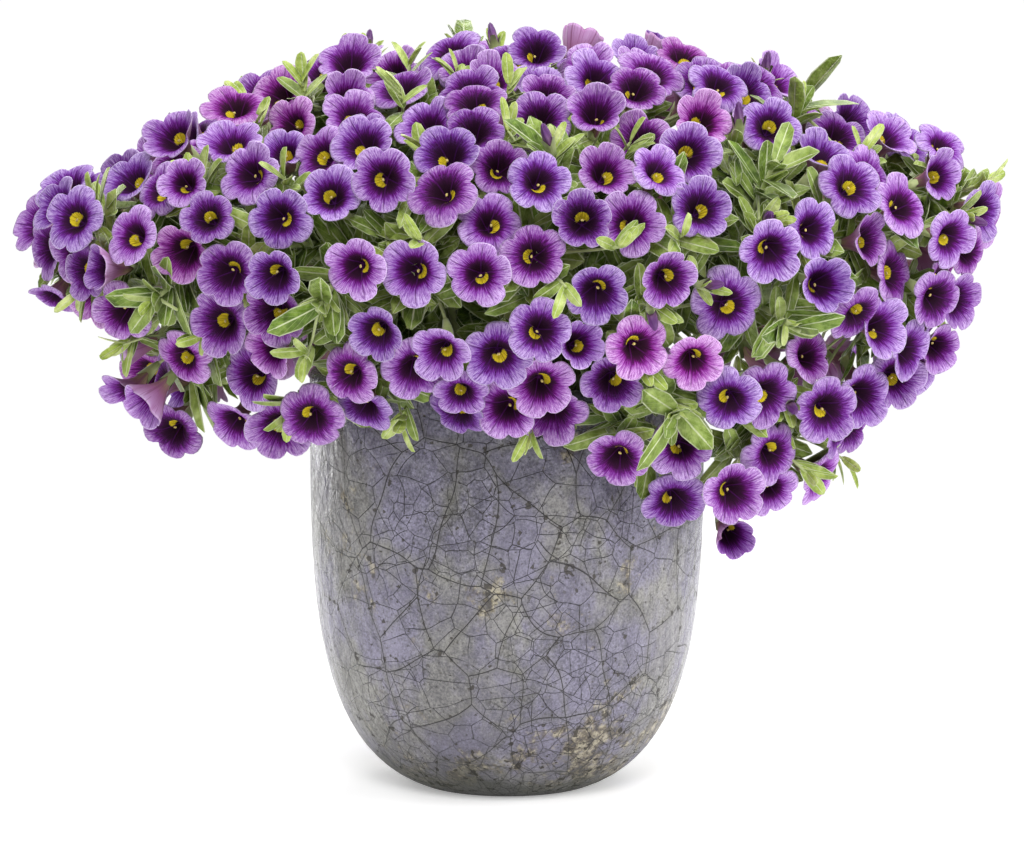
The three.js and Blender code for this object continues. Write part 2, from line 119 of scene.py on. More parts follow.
floor_paint, paint = new_material("floor_paint")
floor.data.materials.append(floor_paint)
give(paint, Base_Color=OFF_WHITE, Roughness=0.9, Specular_IOR_Level=0.0, Emission_Color=WHITE,
     Emission_Strength=0.3)
tree = floor_paint.node_tree
place = new_node(tree, "TexCoord").outputs["Object"]
from_foot = new_node(tree, "VectorMath", {"operation": "LENGTH"}, Vector=place).outputs["Value"]
fading = new_node(tree, "MapRange", {"interpolation_type": "SMOOTHSTEP"}, Value=from_foot,
                  From_Min=FADES_FROM, From_Max=FADES_TO).outputs["Result"]
nothing = new_node(tree, "BsdfTransparent").outputs["BSDF"]
join(tree.nodes["Material Output"].inputs["Surface"], mix_shaders(fading, paint.outputs["BSDF"], nothing))

world = bpy.data.worlds.new("studio")
bpy.context.scene.world = world
world.use_nodes = True
tree = world.node_tree
lit = tree.nodes["Background"]
give(lit, Color=WHITE, Strength=0.5)
seen = new_node(tree, "Background", Color=WHITE, Strength=1.02)
by_camera = new_node(tree, "LightPath").outputs["Is Camera Ray"]
join(tree.nodes["World Output"].inputs["Surface"],
     mix_shaders(by_camera, lit.outputs["Background"], seen.outputs["Background"]))
bpy.context.scene.view_settings.view_transform = "Standard"

# Each light's place, power, width and height. All of them face the middle of the plant.
for name, place, power, width, height in (("light_front", (-0.1, -2.0, 1.7), 34, 1.1, 1.1),
                                          ("light_left", (-1.0, 1.45, 0.5), 13, 0.75, 1.2),
                                          ("light_right", (1.5, -0.45, 0.6), 14, 0.7, 1.2),
                                          ("light_top", (0.1, 0.1, 2.3), 34, 1.8, 1.8),
                                          ("light_back", (0.5, 2.0, 1.3), 14, 1.2, 1.0)):
    lamp = bpy.data.lights.new(name, "AREA")
    lamp.shape = "RECTANGLE"
    lamp.size, lamp.size_y, lamp.energy = width, height, power
    holder = bpy.data.objects.new(name, lamp)
    holder.location = place
    holder.rotation_euler = (LIT_MIDDLE - holder.location).to_track_quat("-Z", "Y").to_euler()
    bpy.context.collection.objects.link(holder)

lens = bpy.data.cameras.new("camera")
lens.sensor_width = 36
lens.lens = LENS
camera = bpy.data.objects.new("camera", lens)
camera.location = CAMERA_PLACE
camera.rotation_euler = (math.pi / 2 - LOOK_DOWN, 0, 0)
bpy.context.collection.objects.link(camera)
bpy.context.scene.camera = camera

# ---- Pot ----
# Round stoneware pot with a full belly and a straight upper side, thrown in one piece. Its grey glaze has
# crazed into plates with dark cracks between them, and is pitted and stained brown here and there.
# Sizes are in millimetres up to where MM is put to them. A finished mesh is in metres.
MM = 0.001
POT_HEIGHT, POT_RADIUS, POT_WALL, POT_FLOOR = 200, 94.5, 7, 9
BELLY_HEIGHT, BELLY_DEPTH, BELLY_POWER = 165, 170, 3.1
LIP_DROP, LIP_STEPS, ROUND_STEPS = 3, 12, 96
ONE_PLACE = 1e-6
# The cracks are laid out as if the pot's side were flat: round it at one radius, and upwards with a share of
# the way outwards. The glaze is tinted up to a small way from a crack. All of it is in metres.
FLAT_RADIUS, FLAT_LEAN, NEAR_CRACK = 0.085, 0.8, 0.0035
LAVENDER, BEIGE, PLATE_GREY = (0.205, 0.191, 0.268), (0.232, 0.226, 0.208), (0.140, 0.130, 0.180)
CRACK_BLACK, CRACK_OLIVE, PIT_BROWN = (0.020, 0.017, 0.019), (0.120, 0.116, 0.088), (0.030, 0.024, 0.018)
# Painted shade: a grey that darkens the glaze towards the bottom, and a darker olive-black for a band where
# the foot meets the floor.
LOW_SHADE_GREY, FOOT_SHADE_GREEN = (0.060, 0.056, 0.048), (0.020, 0.021, 0.012)
OCHRE = [(0.40, (0.024, 0.018, 0.009)), (0.50, (0.120, 0.094, 0.045)), (0.60, (0.400, 0.355, 0.240))]


def pot_side(inset, steps):
    """The pot's side at an inset from its glazed face, from the floor up, in millimetres."""
    floor_height = POT_FLOOR + inset - POT_WALL if inset else 0
    lowest = math.asin(((BELLY_HEIGHT - floor_height) / (BELLY_DEPTH - inset)) ** (BELLY_POWER / 2))
    side = []
    for i in range(steps + 1):
        angle = lowest * (1 - i / steps)
        out = (POT_RADIUS - inset) * math.cos(angle) ** (2 / BELLY_POWER)
        fall = (BELLY_DEPTH - inset) * math.sin(angle) ** (2 / BELLY_POWER)
        side.append((out, BELLY_HEIGHT - fall))
    return side


def finish_piece(name, bm, materials, nodes, levels=0):
    """Makes a piece from a bmesh with its materials, sets it on the root, and hides the parts that it takes
    the place of.
    """
    mesh = mesh_from(name, bm)
    for material in materials:
        mesh.materials.append(material)
    mesh.polygons.foreach_set("use_smooth", [True] * len(mesh.polygons))
    piece = bpy.data.objects.new(name, mesh)
    bpy.context.collection.objects.link(piece)
    if levels:
        rounding = piece.modifiers.new("rounding", "SUBSURF")
        rounding.levels = rounding.render_levels = levels
    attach(piece, "root")
    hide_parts(*nodes)


outline = [(0, 0)] + pot_side(0, 18)
for i in range(LIP_STEPS + 1):
    angle = math.pi * i / LIP_STEPS
    out = POT_RADIUS - POT_WALL / 2 * (1 - math.cos(angle))
    outline.append((out, POT_HEIGHT - LIP_DROP * (1 - math.sin(angle))))
outline += [*reversed(pot_side(POT_WALL, 12)), (0, POT_FLOOR)]
bm = bmesh.new()
points = [bm.verts.new((out * MM, 0, height * MM)) for out, height in outline]
for a, b in zip(points, points[1:]):
    bm.edges.new((a, b))
bmesh.ops.spin(bm, geom=bm.verts[:] + bm.edges[:], axis=(0, 0, 1), cent=(0, 0, 0), angle=math.tau,
               steps=ROUND_STEPS, use_merge=True)
bmesh.ops.remove_doubles(bm, verts=bm.verts[:], dist=ONE_PLACE)
bmesh.ops.dissolve_degenerate(bm, edges=bm.edges[:], dist=ONE_PLACE)
bmesh.ops.recalc_face_normals(bm, faces=bm.faces[:])


class Output:
    """What a node puts out. It adds and multiplies with other outputs and with plain numbers."""

    def __init__(self, socket):
        self.socket, self.tree = socket, socket.id_data

    def __add__(self, other):
        return sums("ADD", self, other)

    def __sub__(self, other):
        return sums("SUBTRACT", self, other)

    def __rsub__(self, other):
        return sums("SUBTRACT", other, self)

    def __mul__(self, other):
        return sums("MULTIPLY", self, other)

    def __truediv__(self, other):
        return sums("DIVIDE", self, other)

    __radd__, __rmul__ = __add__, __mul__


def first_output(values):
    """The first of some values that a node puts out."""
    return next(value for value in values if isinstance(value, Output))


def sums(kind, *values):
    """One step of arithmetic on numbers, or on directions where the first output among the values is one."""
    first = first_output(values)
    flat = first.socket.type == "VALUE"
    made = new_node(first.tree, "Math" if flat else "VectorMath", {"operation": kind})
    for socket, value in zip(made.inputs, values):
        join(socket, value)
    return Output(made.outputs["Value" if flat or kind in ("LENGTH", "DOT_PRODUCT") else "Vector"])


def split(place):
    """The parts of a place or direction along each axis."""
    return [Output(part) for part in new_node(place.tree, "SeparateXYZ", Vector=place).outputs]


def place_on(material):
    """The places on a piece, in metres."""
    return Output(new_node(material.node_tree, "TexCoord").outputs["Object"])


def noise(place, scale, detail=4.0, roughness=0.5, distortion=0.0, output="Fac"):
    """Noise of a given scale at a place."""
    made = new_node(place.tree, "TexNoise", Vector=place, Scale=scale, Detail=detail, Roughness=roughness,
                    Distortion=distortion)
    return Output(made.outputs[output])


def between(value, low, high):
    """0 below low, 1 above high, and a slope from one to the other. Low may be the higher number."""
    made = new_node(value.tree, "MapRange", {"interpolation_type": "SMOOTHSTEP"}, Value=value, From_Min=low,
                    From_Max=high)
    return Output(made.outputs["Result"])


def blend(share, under, over, kind="MIX"):
    """Lays one colour over another by a share."""
    made = new_node(first_output((share, under, over)).tree, "Mix", {"data_type": "RGBA", "blend_type": kind},
                    Factor=share)
    for socket, value in zip([socket for socket in made.inputs if socket.type == "RGBA"], (under, over)):
        join(socket, value)
    return Output(next(socket for socket in made.outputs if socket.type == "RGBA"))


def ramp(value, stops):
    """A colour that changes with a value, through stops of (value, colour)."""
    made = new_node(value.tree, "ValToRGB", Fac=value)
    for _ in stops[2:]:
        made.color_ramp.elements.new(0.5)
    for stop, (at, colour) in zip(made.color_ramp.elements, stops):
        stop.position, stop.color = at, (*colour, 1)
    return Output(made.outputs["Color"])


def relief(height, strength, distance, **under):
    """The way that a surface faces where a height stands out of it, and out of any relief under it."""
    made = new_node(height.tree, "Bump", Height=height, Strength=strength, Distance=distance, **under)
    return Output(made.outputs["Normal"])


def on_pot(place, across, down, shift):
    """Flat places on the pot's side, once for its front half and once for its back half, in metres."""
    x, y, z = split(place)
    along = (z + sums("SQRT", x * x + y * y) * FLAT_LEAN) * down
    halves = []
    for side in (-1, 1):
        round_it = sums("ARCTAN2", x, y * side) * (FLAT_RADIUS * across) + shift
        halves.append(Output(new_node(place.tree, "CombineXYZ", X=round_it, Y=along).outputs["Vector"]))
    return halves


def crack_lines(place, scale, across, down, bend, width):
    """1 on the cracks of a crazed glaze, 1 near them, and the tints of the plates between them."""
    sway = (noise(place, scale * 0.5, 1, output="Color") - 0.5) * bend
    edges, tints = [], []
    for half in on_pot(place, across, down, scale * 0.013):
        swayed = half + sway
        for found, feature, output in ((edges, "DISTANCE_TO_EDGE", "Distance"), (tints, "F1", "Color")):
            cells = new_node(place.tree, "TexVoronoi", {"voronoi_dimensions": "2D", "feature": feature},
                             Vector=swayed, Scale=scale)
            found.append(Output(cells.outputs[output]))
    distance = blend(in_front, *reversed(edges))
    line = between(distance, width * scale, width * scale * 0.25)
    return line, between(distance, NEAR_CRACK * scale, 0.0), blend(in_front, *reversed(tints))


pot_glaze, glaze = new_material("crackled_glaze")
place = place_on(pot_glaze)
x, y, z = split(place)
in_front = between(y, 0.055, 0.040)
large_cracks, by_cracks, plates = crack_lines(place, 36, 1.0, 0.80, 0.026, 0.00025)
middle_cracks, _, shards = crack_lines(place, 62, 1.0, 1.10, 0.015, 0.00020)
small_cracks, _, _ = crack_lines(place, 104, 1.1, 0.9, 0.009, 0.00017)
crazed = noise(place, 15, 3)
cracks = sums("MAXIMUM", large_cracks, middle_cracks * between(crazed, 0.36, 0.43))
cracks = sums("MAXIMUM", cracks, small_cracks * between(crazed, 0.48, 0.55))
low_down = between(z, 0.095, 0.008)
low_right = low_down * between(x, 0.048, 0.086)
# Near the bottom, where the belly curves under: the mask for painted shade, and for a rougher glaze with less
# coat.
low_shade = between(z, 0.050, 0.004)
run_down = place * (1, 1, 0.62)
clouds = noise(run_down, 24, 6, 0.62)
streaks = noise(run_down, 130, 5, 0.65, distortion=0.5)
grain = noise(place, 800, 3, 0.7)
tone = clouds * 0.28 + streaks * 0.29 + grain * 0.43
warm = between(noise(run_down + (0.2, 0.5, 0.1), 21, 5, 0.62), 0.46, 0.60)
light_and_dark = ramp(tone, [(0.41, (0.27,) * 3), (0.49, (0.60,) * 3), (0.57, (1.05,) * 3)])
grey = blend(1.0, blend(warm, LAVENDER, BEIGE), light_and_dark, "MULTIPLY")
plate_tint = sums("DOT_PRODUCT", plates, (0.35, 0.2, 0.1)) + sums("DOT_PRODUCT", shards, (0.1, 0.1, 0.15))
grey = blend(between(plate_tint, 0.3, 0.75) * 0.42, grey, PLATE_GREY)
grey = blend(by_cracks * 0.30, grey, CRACK_OLIVE)
weathered = noise(place + (0.31, 0.7, 0.2), 24, 6, 0.70) + low_down * 0.085 + low_right * 0.13
stain = between(weathered, 0.585, 0.67)
grey = blend(stain * 0.80, grey, ramp(noise(place, 210, 4, 0.7), OCHRE))
pitted = between(noise(place, 230, 2) + stain * 0.08 + by_cracks * 0.07, 0.690, 0.720)
specks = between(noise(place, 620, 1), 0.665, 0.72)
dirt = sums("MAXIMUM", pitted, specks * 0.65)
grey = blend(dirt * 0.9, grey, PIT_BROWN)
grey = blend(cracks * 0.90, grey, CRACK_BLACK)
# Painted shade: a dark olive-black band at the very foot, where the pot meets the floor.
foot_contact_shade = between(z + (clouds - 0.5) * 0.06, 0.022, 0.003)
# Painted shade: the glaze is darkened towards the bottom, where the belly turns under away from the lights.
grey = blend(low_shade * 0.16, grey, LOW_SHADE_GREY)
grey = blend(foot_contact_shade * 0.88, grey, FOOT_SHADE_GREEN)
lumpy = relief(noise(run_down, 75, 4, 0.55) + cracks * -0.04, 0.9, 0.005)
raised = streaks * 0.5 + grain * 0.3 - (cracks * 0.5 + dirt)
give(glaze, Base_Color=grey, Roughness=0.08 + dirt * 0.4 + low_shade * 0.35 + tone * 0.32,
     Normal=relief(raised, 0.7, 0.0010, Normal=lumpy), Coat_Weight=(1.0 - low_shade * 0.85) * 0.2,
     Coat_Roughness=0.12)
finish_piece("glazed_pot", bm, [pot_glaze], ["pot"])

# ---- Potting mix ----
# Dark peat and bark crumbs fill the pot to a finger's width under the lip, with a few white grains of
# perlite. It is loose stuff, so its top is rough.
PEAT = [(0.30, (0.008, 0.005, 0.003)), (0.50, (0.030, 0.018, 0.011)), (0.72, (0.095, 0.058, 0.034))]
FIBRE, PERLITE = (0.12, 0.075, 0.045), (0.62, 0.60, 0.55)
peat, shader = new_material("peat_and_bark")
place = place_on(peat)
crumbs = noise(place, 160, 8, 0.75)
brown = blend(between(noise(place, 420, 4, 0.6, distortion=1.5), 0.62, 0.75), ramp(crumbs, PEAT), FIBRE)
off_grain = Output(new_node(peat.node_tree, "TexVoronoi", Vector=place, Scale=95).outputs["Distance"])
brown = blend(between(off_grain, 0.16, 0.10) * between(noise(place, 60, 2), 0.55, 0.6), brown, PERLITE)
give(shader, Base_Color=brown, Roughness=0.95, Normal=relief(crumbs, 1.0, 0.006))
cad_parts["potting_mix"].data.materials.clear()
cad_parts["potting_mix"].data.materials.append(peat)

# ---- Stems ----
# Thin soft stems rise from the mix, bend outward over the rim and branch. The mound that their tips fill
# is wider than it is deep, stands highest behind the middle and hangs lowest at its front right.
MIX_TOP, HOLE_DEPTH, HOLE_SPREAD, SEAT_GAP = 187, 20, 70, 0.3
SITE_SPACING, SITE_TRIES = 22.4, 16000
FLOWERING_STEMS, TIP_SPACING = 42, 53
LEAFY_SHOOTS, SHOOT_SPACING, SHOOT_TO_STEM = 14, 62, 26
STEM_RADIUS, TIP_RADIUS, STEM_TRIES, STEM_PARTS = 2, 1.8, 60, 5
HUB_DEPTH, END_DEPTH = 44, 22
OVER_RIM, PAST_RIM = POT_HEIGHT + 12, POT_RADIUS + 10
LEAST_LIFT = OVER_RIM + 14 - MIX_TOP
CLEARANCE, MOST_PIECES = 1.0, 8000
# The number that stands for each thing that is drawn by chance.
FOR = {"down": 1, "turn": 2, "tilt": 3, "lean": 4, "size": 5, "rise": 6, "joint": 7, "leaf_turn": 9,
       "slope": 10, "length": 11, "width": 12, "root": 13, "leaf": 14, "steepness": 15, "spin": 16,
       "look": 17, "shape": 18, "nod": 19}
# How far out the mound reaches, as a share, and how high it is there, from its top to its hem.
MOUND = np.array([(0.0, 346), (0.28, 345), (0.5, 338), (0.68, 325), (0.86, 306), (0.98, 284), (1.0, 258),
                  (0.93, 230), (0.83, 205), (0.72, 187)])
HEM, WIDEST_HEIGHT, MEAN_REACH, AREA_STEPS = len(MOUND) - 1, 258, 190, 180
# How far it reaches, and how far its hem hangs. Each has a least value and gains towards some directions:
# how much, which way in degrees, and how wide about.
LEAST_REACH, REACHES = 158, [(62, 184, 44), (62, 2, 40), (10, -90, 50)]
LEAST_HANG, HANGS = 0, [(0.72, -38, 30), (0.1, 200, 40)]
# Where the mound swells or shrinks, which way, and how wide about.
SWELLS = [((-215, 0, 262), (-12, 0, 0), 30), ((-195, -35, 218), (34, 0, 0), 28),
          ((-195, 35, 218), (34, 0, 0), 28), ((-178, -60, 190), (-22, -4, 0), 26),
          ((-175, 0, 310), (14, 0, -20), 48), ((-85, -10, 345), (0, 0, 5), 45),
          ((212, -20, 292), (14, 0, 6), 28), ((214, -10, 250), (-10, 0, 0), 20),
          ((205, -20, 216), (16, 0, 4), 22), ((175, -75, 180), (-14, 0, 0), 24),
          ((140, -70, 165), (5, -8, 0), 42)]
UP = np.array([0.0, 0.0, 1.0])
ACROSS = np.array([1.0, 0.0, 0.0])


def chance(item, purpose):
    """A number from 0 to 1 that depends only on which item it is and on what it is drawn for."""
    h = ((item + 1) * 374761393 + (FOR[purpose] + 1) * 668265263) & 0xFFFFFFFF
    h = ((h ^ (h >> 13)) * 1274126177) & 0xFFFFFFFF
    h = ((h ^ (h >> 15)) * 2246822519) & 0xFFFFFFFF
    return (h ^ (h >> 16)) / 4294967296


def draw(low, high, item, purpose):
    return low + (high - low) * chance(item, purpose)


def unit(vector):
    return vector / math.sqrt(vector @ vector)


def cross(a, b):
    return np.array([a[1] * b[2] - a[2] * b[1], a[2] * b[0] - a[0] * b[2], a[0] * b[1] - a[1] * b[0]])


def off_squared(points, place):
    """The squares of how far points are from a place."""
    return ((points - place) ** 2).sum(-1)


def sideways(axis, turn):
    """A unit vector square to an axis, turned round it by an angle."""
    a = unit(cross(axis, UP if abs(axis[2]) < 0.9 else ACROSS))
    return a * math.cos(turn) + cross(axis, a) * math.sin(turn)


def curve(a, b, c, d, t):
    """A point between b and c on a smooth line through four."""
    return b + 0.5 * t * (c - a + t * (2 * a - 5 * b + 4 * c - d)) + 0.5 * t**3 * (3 * (b - c) + d - a)


def arch(a, b, c, d, t):
    """A point on the smooth arch that leaves a towards b and comes to d from c."""
    return a * (1 - t) ** 3 + b * 3 * t * (1 - t) ** 2 + c * 3 * t**2 * (1 - t) + d * t**3


def gained(least, gains, turn):
    """A least value and what it gains towards some directions."""
    for gain, centre, width in gains:
        off = turn - math.radians(centre)
        least = least + gain * np.exp(-((np.arctan2(np.sin(off), np.cos(off)) / math.radians(width)) ** 2))
    return least


def profile(down):
    """The share of the mound's reach and its height at a way down it."""
    i = np.minimum(np.floor(down).astype(int), HEM - 1)
    return curve(*(MOUND[np.clip(i + k, 0, HEM)] for k in (-1, 0, 1, 2)), (down - i)[..., None])


def mound_point(down, turn):
    """The point on the mound at a way down it and a turn round it."""
    down, turn = np.asarray(down, float), np.asarray(turn, float)
    at = profile(np.clip(down, 0, HEM))
    r, height = at[..., 0] * gained(LEAST_REACH, REACHES, turn), at[..., 1]
    hung = height - np.maximum(0, WIDEST_HEIGHT - height) * gained(LEAST_HANG, HANGS, turn)
    base = np.stack([r * np.cos(turn), r * np.sin(turn), hung], -1)
    moved = base.copy()
    for middle, shift, width in SWELLS:
        moved += np.exp(-off_squared(base, middle) / width**2)[..., None] * shift
    return moved


def mound_normal(down, turn):
    """Which way the mound faces there."""
    d = min(max(down, 0.1), HEM - 0.1)
    downwards = mound_point(d + 0.08, turn) - mound_point(d - 0.08, turn)
    return unit(cross(downwards, mound_point(d, turn + 0.03) - mound_point(d, turn - 0.03)))


# The mound's surface in narrow belts, so that the sites are spread evenly over it.
belt = profile(np.arange(AREA_STEPS + 1) * HEM / AREA_STEPS)
belts = (belt[:-1, 0] + belt[1:, 0]) * np.hypot(np.diff(belt[:, 0]) * MEAN_REACH, np.diff(belt[:, 1]))
areas = np.concatenate([[0], np.cumsum(belts)])


def down_at(share):
    """The way down at which a given share of the mound's surface lies above."""
    wanted = share * areas[-1]
    i = np.searchsorted(areas, wanted, side="right")
    return (i - 1 + (wanted - areas[i - 1]) / (areas[i] - areas[i - 1])) * HEM / AREA_STEPS


class Taken:
    """The room that one piece takes: points on its edges, and a test of what points it holds."""

    def __init__(self, stem, centre, bound, samples, thickness, holds, joins=False):
        self.stem, self.centre, self.bound, self.samples = stem, centre, bound, samples
        self.thickness, self.holds, self.joins = thickness, holds, joins


standing = []
middles = np.zeros((MOST_PIECES, 3))
bounds = np.zeros(MOST_PIECES)


def put(*pieces):
    """Lets pieces stand, so that later ones keep clear of them."""
    for piece in pieces:
        middles[len(standing)], bounds[len(standing)] = piece.centre, piece.bound
        standing.append(piece)


def is_free(piece, ignores=lambda other: False):
    """Whether a piece keeps clear of all that stands, apart from its own stem and what it ignores."""
    n = len(standing)
    apart = np.sqrt(off_squared(middles[:n], piece.centre))
    for k in np.nonzero(apart <= bounds[:n] + piece.bound + 2 * CLEARANCE)[0]:
        other = standing[k]
        if (piece.joins and other.joins and piece.stem is other.stem) or ignores(other):
            continue
        if other.holds(piece.samples, CLEARANCE + piece.thickness):
            return False
        if piece.holds(other.samples, CLEARANCE + other.thickness):
            return False
    return True


def stalk_room(stem, start, end, start_radius, end_radius):
    """The room that a stretch of a stem or stalk takes."""
    line = end - start
    length = math.sqrt(line @ line)
    steps = math.ceil(length / 2)
    samples = start + np.linspace(0, 1, steps + 1)[:, None] * line

    def holds(points, margin):
        t = np.clip((points - start) @ line / length**2, 0, 1)
        off = points - start - t[:, None] * line
        radius = start_radius + (end_radius - start_radius) * t
        return bool((np.sqrt((off**2).sum(1)) < radius + margin).any())

    thickness = max(start_radius, end_radius)
    return Taken(stem, (start + end) / 2, length / 2 + thickness, samples, thickness, holds, True)


# Places are tried one by one, and each that is far enough from all before it becomes a site.
tries_down = down_at(np.array([chance(i, "down") for i in range(SITE_TRIES)]))
tries_turn = np.array([math.tau * chance(i, "turn") for i in range(SITE_TRIES)])
tries_place = mound_point(tries_down, tries_turn)
kept = np.empty((0, 3))
sites = []
for i in range(SITE_TRIES):
    if (off_squared(kept, tries_place[i]) > SITE_SPACING**2).all():
        kept = np.vstack([kept, tries_place[i]])
        down, turn = float(tries_down[i]), float(tries_turn[i])
        sites.append({"id": i, "down": down, "turn": turn, "place": tries_place[i],
                      "normal": mound_normal(down, turn)})


class Stem:
    def __init__(self, index, tip, leafy):
        self.index, self.tip, self.leafy, self.sites = index, tip, leafy, []
        kind = "leafy_shoot" if leafy else "flowering_stem"
        self.node = f"{kind}_{index + 1:02d}"


stems = []


def away(stem, site):
    return math.dist(stem.tip["place"], site["place"])


def add_stems(count, leafy, spacing, spacing_to_other):
    last = len(stems) + count
    for site in sites:
        if len(stems) == last:
            return
        if all(away(stem, site) > (spacing if stem.leafy == leafy else spacing_to_other) for stem in stems):
            stems.append(Stem(len(stems), site, leafy))


add_stems(FLOWERING_STEMS, False, TIP_SPACING, 0)
add_stems(LEAFY_SHOOTS, True, SHOOT_SPACING, SHOOT_TO_STEM)
flowering_stems = [stem for stem in stems if not stem.leafy]
leafy_shoots = [stem for stem in stems if stem.leafy]
for site in sites:
    if not any(stem.tip is site for stem in leafy_shoots):
        min(flowering_stems, key=lambda stem: away(stem, site)).sites.append(site)


def past_rim(point):
    """Moves a point that is lower than the rim outwards, clear of the pot."""
    r = math.hypot(point[0], point[1])
    if point[2] > OVER_RIM or r > PAST_RIM:
        return point
    return np.array([point[0] * PAST_RIM / r, point[1] * PAST_RIM / r, point[2]])


def stem_route(stem, mouth, steepness):
    """The points of a stem from the bottom of its hole to its end."""
    span = math.dist(mouth, stem.hub)
    arrival = unit(stem.tip["normal"] * 1.5 - UP * 0.5)
    lifted = mouth + UP * max(steepness * span, LEAST_LIFT)
    before = stem.hub + arrival * (steepness - 0.8) * span
    bend = [arch(mouth, lifted, before, stem.hub, t) for t in (0, 1 / 3, 2 / 3, 1)]
    return [mouth + UP * (SEAT_GAP - HOLE_DEPTH), *bend, stem.end]


stem_radii = [STEM_RADIUS + (TIP_RADIUS - STEM_RADIUS) * i / STEM_PARTS for i in range(STEM_PARTS + 1)]
for stem in stems:
    tip = stem.tip
    above = sum(other.tip["down"] < tip["down"] for other in stems)
    hole_reach = HOLE_SPREAD * math.sqrt((above + 0.4) / len(stems))
    stem.hub = past_rim(tip["place"] - tip["normal"] * HUB_DEPTH)
    rise = draw(0, 14, stem.index, "rise") if stem.leafy else -END_DEPTH
    stem.end = tip["place"] + tip["normal"] * rise
    if not stem.leafy:
        stem.end = past_rim(stem.end)
    for attempt in range(STEM_TRIES):
        swing = tip["turn"] + (-0.025 if attempt % 2 else 0.025) * attempt
        mouth = np.array([hole_reach * math.cos(swing), hole_reach * math.sin(swing), MIX_TOP])
        stem.route = stem_route(stem, mouth, draw(0.36, 0.54, stem.index * STEM_TRIES + attempt, "steepness"))
        pieces = [stalk_room(stem, *stem.route[i : i + 2], *stem_radii[i : i + 2]) for i in range(STEM_PARTS)]
        if all(is_free(piece) for piece in pieces):
            put(*pieces)
            break

# ---- Where the blooms sit ----
# Each bloom stands at the mound's surface and turns outward, clear of its neighbours, on a thin stalk that
# leaves its stem between the place where the stem starts to branch and its end.
BLOOM_RADIUS, BLOOM_TRIES, FULL_SIZE_TRIES, CROWDED_SIZE = 16.2, 40, 24, 0.85
THROAT_DEPTH, FLARE_DEPTH, TUBE_RADIUS, STALK_RADIUS = 4.5, 7.5, 2.6, 0.7
RIM_SAMPLES = 28
POT_CLEARANCE = 1.5


def limb_room(stem, centre, axis, radius):
    """The room that a bloom's limb takes, which is a shallow funnel."""
    a = sideways(axis, 0)
    b = cross(axis, a)
    turns = np.arange(RIM_SAMPLES) * math.tau / RIM_SAMPLES
    samples = centre + radius * 0.98 * (np.cos(turns)[:, None] * a + np.sin(turns)[:, None] * b)

    def holds(points, margin):
        off = points - centre
        height = off @ axis
        out = np.sqrt(np.maximum(0, (off**2).sum(1) - height**2))
        front = -THROAT_DEPTH * np.maximum(0, 1 - out / radius)
        back = -FLARE_DEPTH * np.clip((radius - out) / (radius - TUBE_RADIUS), 0, 1)
        return bool(((out < radius + margin) & (height < front + margin) & (height > back - margin)).any())

    return Taken(stem, centre, radius, samples, 0, holds)


def over_pot(points):
    """Whether points are all beside the pot or above its lip."""
    r = np.hypot(points[:, 0], points[:, 1])
    return bool(((r > POT_RADIUS + POT_CLEARANCE) | (points[:, 2] > POT_HEIGHT + POT_CLEARANCE)).all())


def towards_light(place):
    """How a bloom turns further outwards, and on the mound's front further to the front."""
    front = min(max((90 - place[1]) / 80, 0), 1)
    return np.array([0.4 * place[0] / MEAN_REACH, 0.4 * place[1] / MEAN_REACH + 0.2 - 0.8 * front, 0])


class Bloom:
    def __init__(self, stem, site, centre, axis, radius, flare, joint):
        self.stem, self.id, self.centre, self.axis = stem, site["id"], centre, axis
        self.radius, self.flare, self.joint = radius, flare, joint
        self.spin = math.tau * chance(self.id, "spin")


blooms, limbs = [], []


def grow_bloom(stem, site):
    """Grows a bloom on a site, the first way in which it and its stalk have room."""
    for attempt in range(BLOOM_TRIES):
        key = site["id"] * BLOOM_TRIES + attempt
        tilt = math.radians(draw(4, 26, key, "tilt"))
        lean = sideways(site["normal"], math.tau * chance(key, "lean"))
        axis = unit(site["normal"] * math.cos(tilt) + lean * math.sin(tilt) + towards_light(site["place"]))
        crowded = 1 if attempt < FULL_SIZE_TRIES else CROWDED_SIZE
        radius = BLOOM_RADIUS * draw(0.9, 1.06, site["id"], "size") * crowded
        centre = site["place"] + site["normal"] * draw(-8, 8, key, "rise")
        flare = centre - axis * FLARE_DEPTH
        along = 0.97 if site is stem.tip else draw(0.1, 0.95, key, "joint")
        joint = stem.hub + (stem.end - stem.hub) * along
        limb = limb_room(stem, centre, axis, radius)
        stalk = stalk_room(stem, flare, joint, TUBE_RADIUS, STALK_RADIUS)
        if all(over_pot(piece.samples) and is_free(piece) for piece in (limb, stalk)):
            put(limb, stalk)
            limbs.append(limb)
            blooms.append(Bloom(stem, site, centre, axis, radius, flare, joint))
            return


for stem in flowering_stems:
    for site in stem.sites:
        grow_bloom(stem, site)

# ---- Where the leaves sit ----
# Small leaves stand singly beside the blooms and crowd the young shoots. Each takes the first direction in
# which it has room.
LEAF_LENGTH, LEAF_WIDTH, LEAF_THICKNESS, LEAF_TRIES = 24, 9.5, 1.1, 10
LEAF_SHARE, SHOOT_LEAVES, ROOT_SPAN = 0.11, 5, 5
FILL_TRIES, FILL_KEYS, FIRST_FILL_ITEM, STEM_LEAVES = 6, 16, 100000, 32
LIMB_GAP, LIMB_REACH = 0.6, 19
THROAT_PLACES, THROAT_GAP, NEAR_THROAT, PAST_BOX = (7, 10, 13), 4.2, 25, 7
YOUNG_TIPS, TIP_APART, TIP_TO_BLOOM = 84, 24, 14.5
TIP_LEAVES, LEAST_TIP_LEAVES, TIP_LENGTH = 6, 3, 14


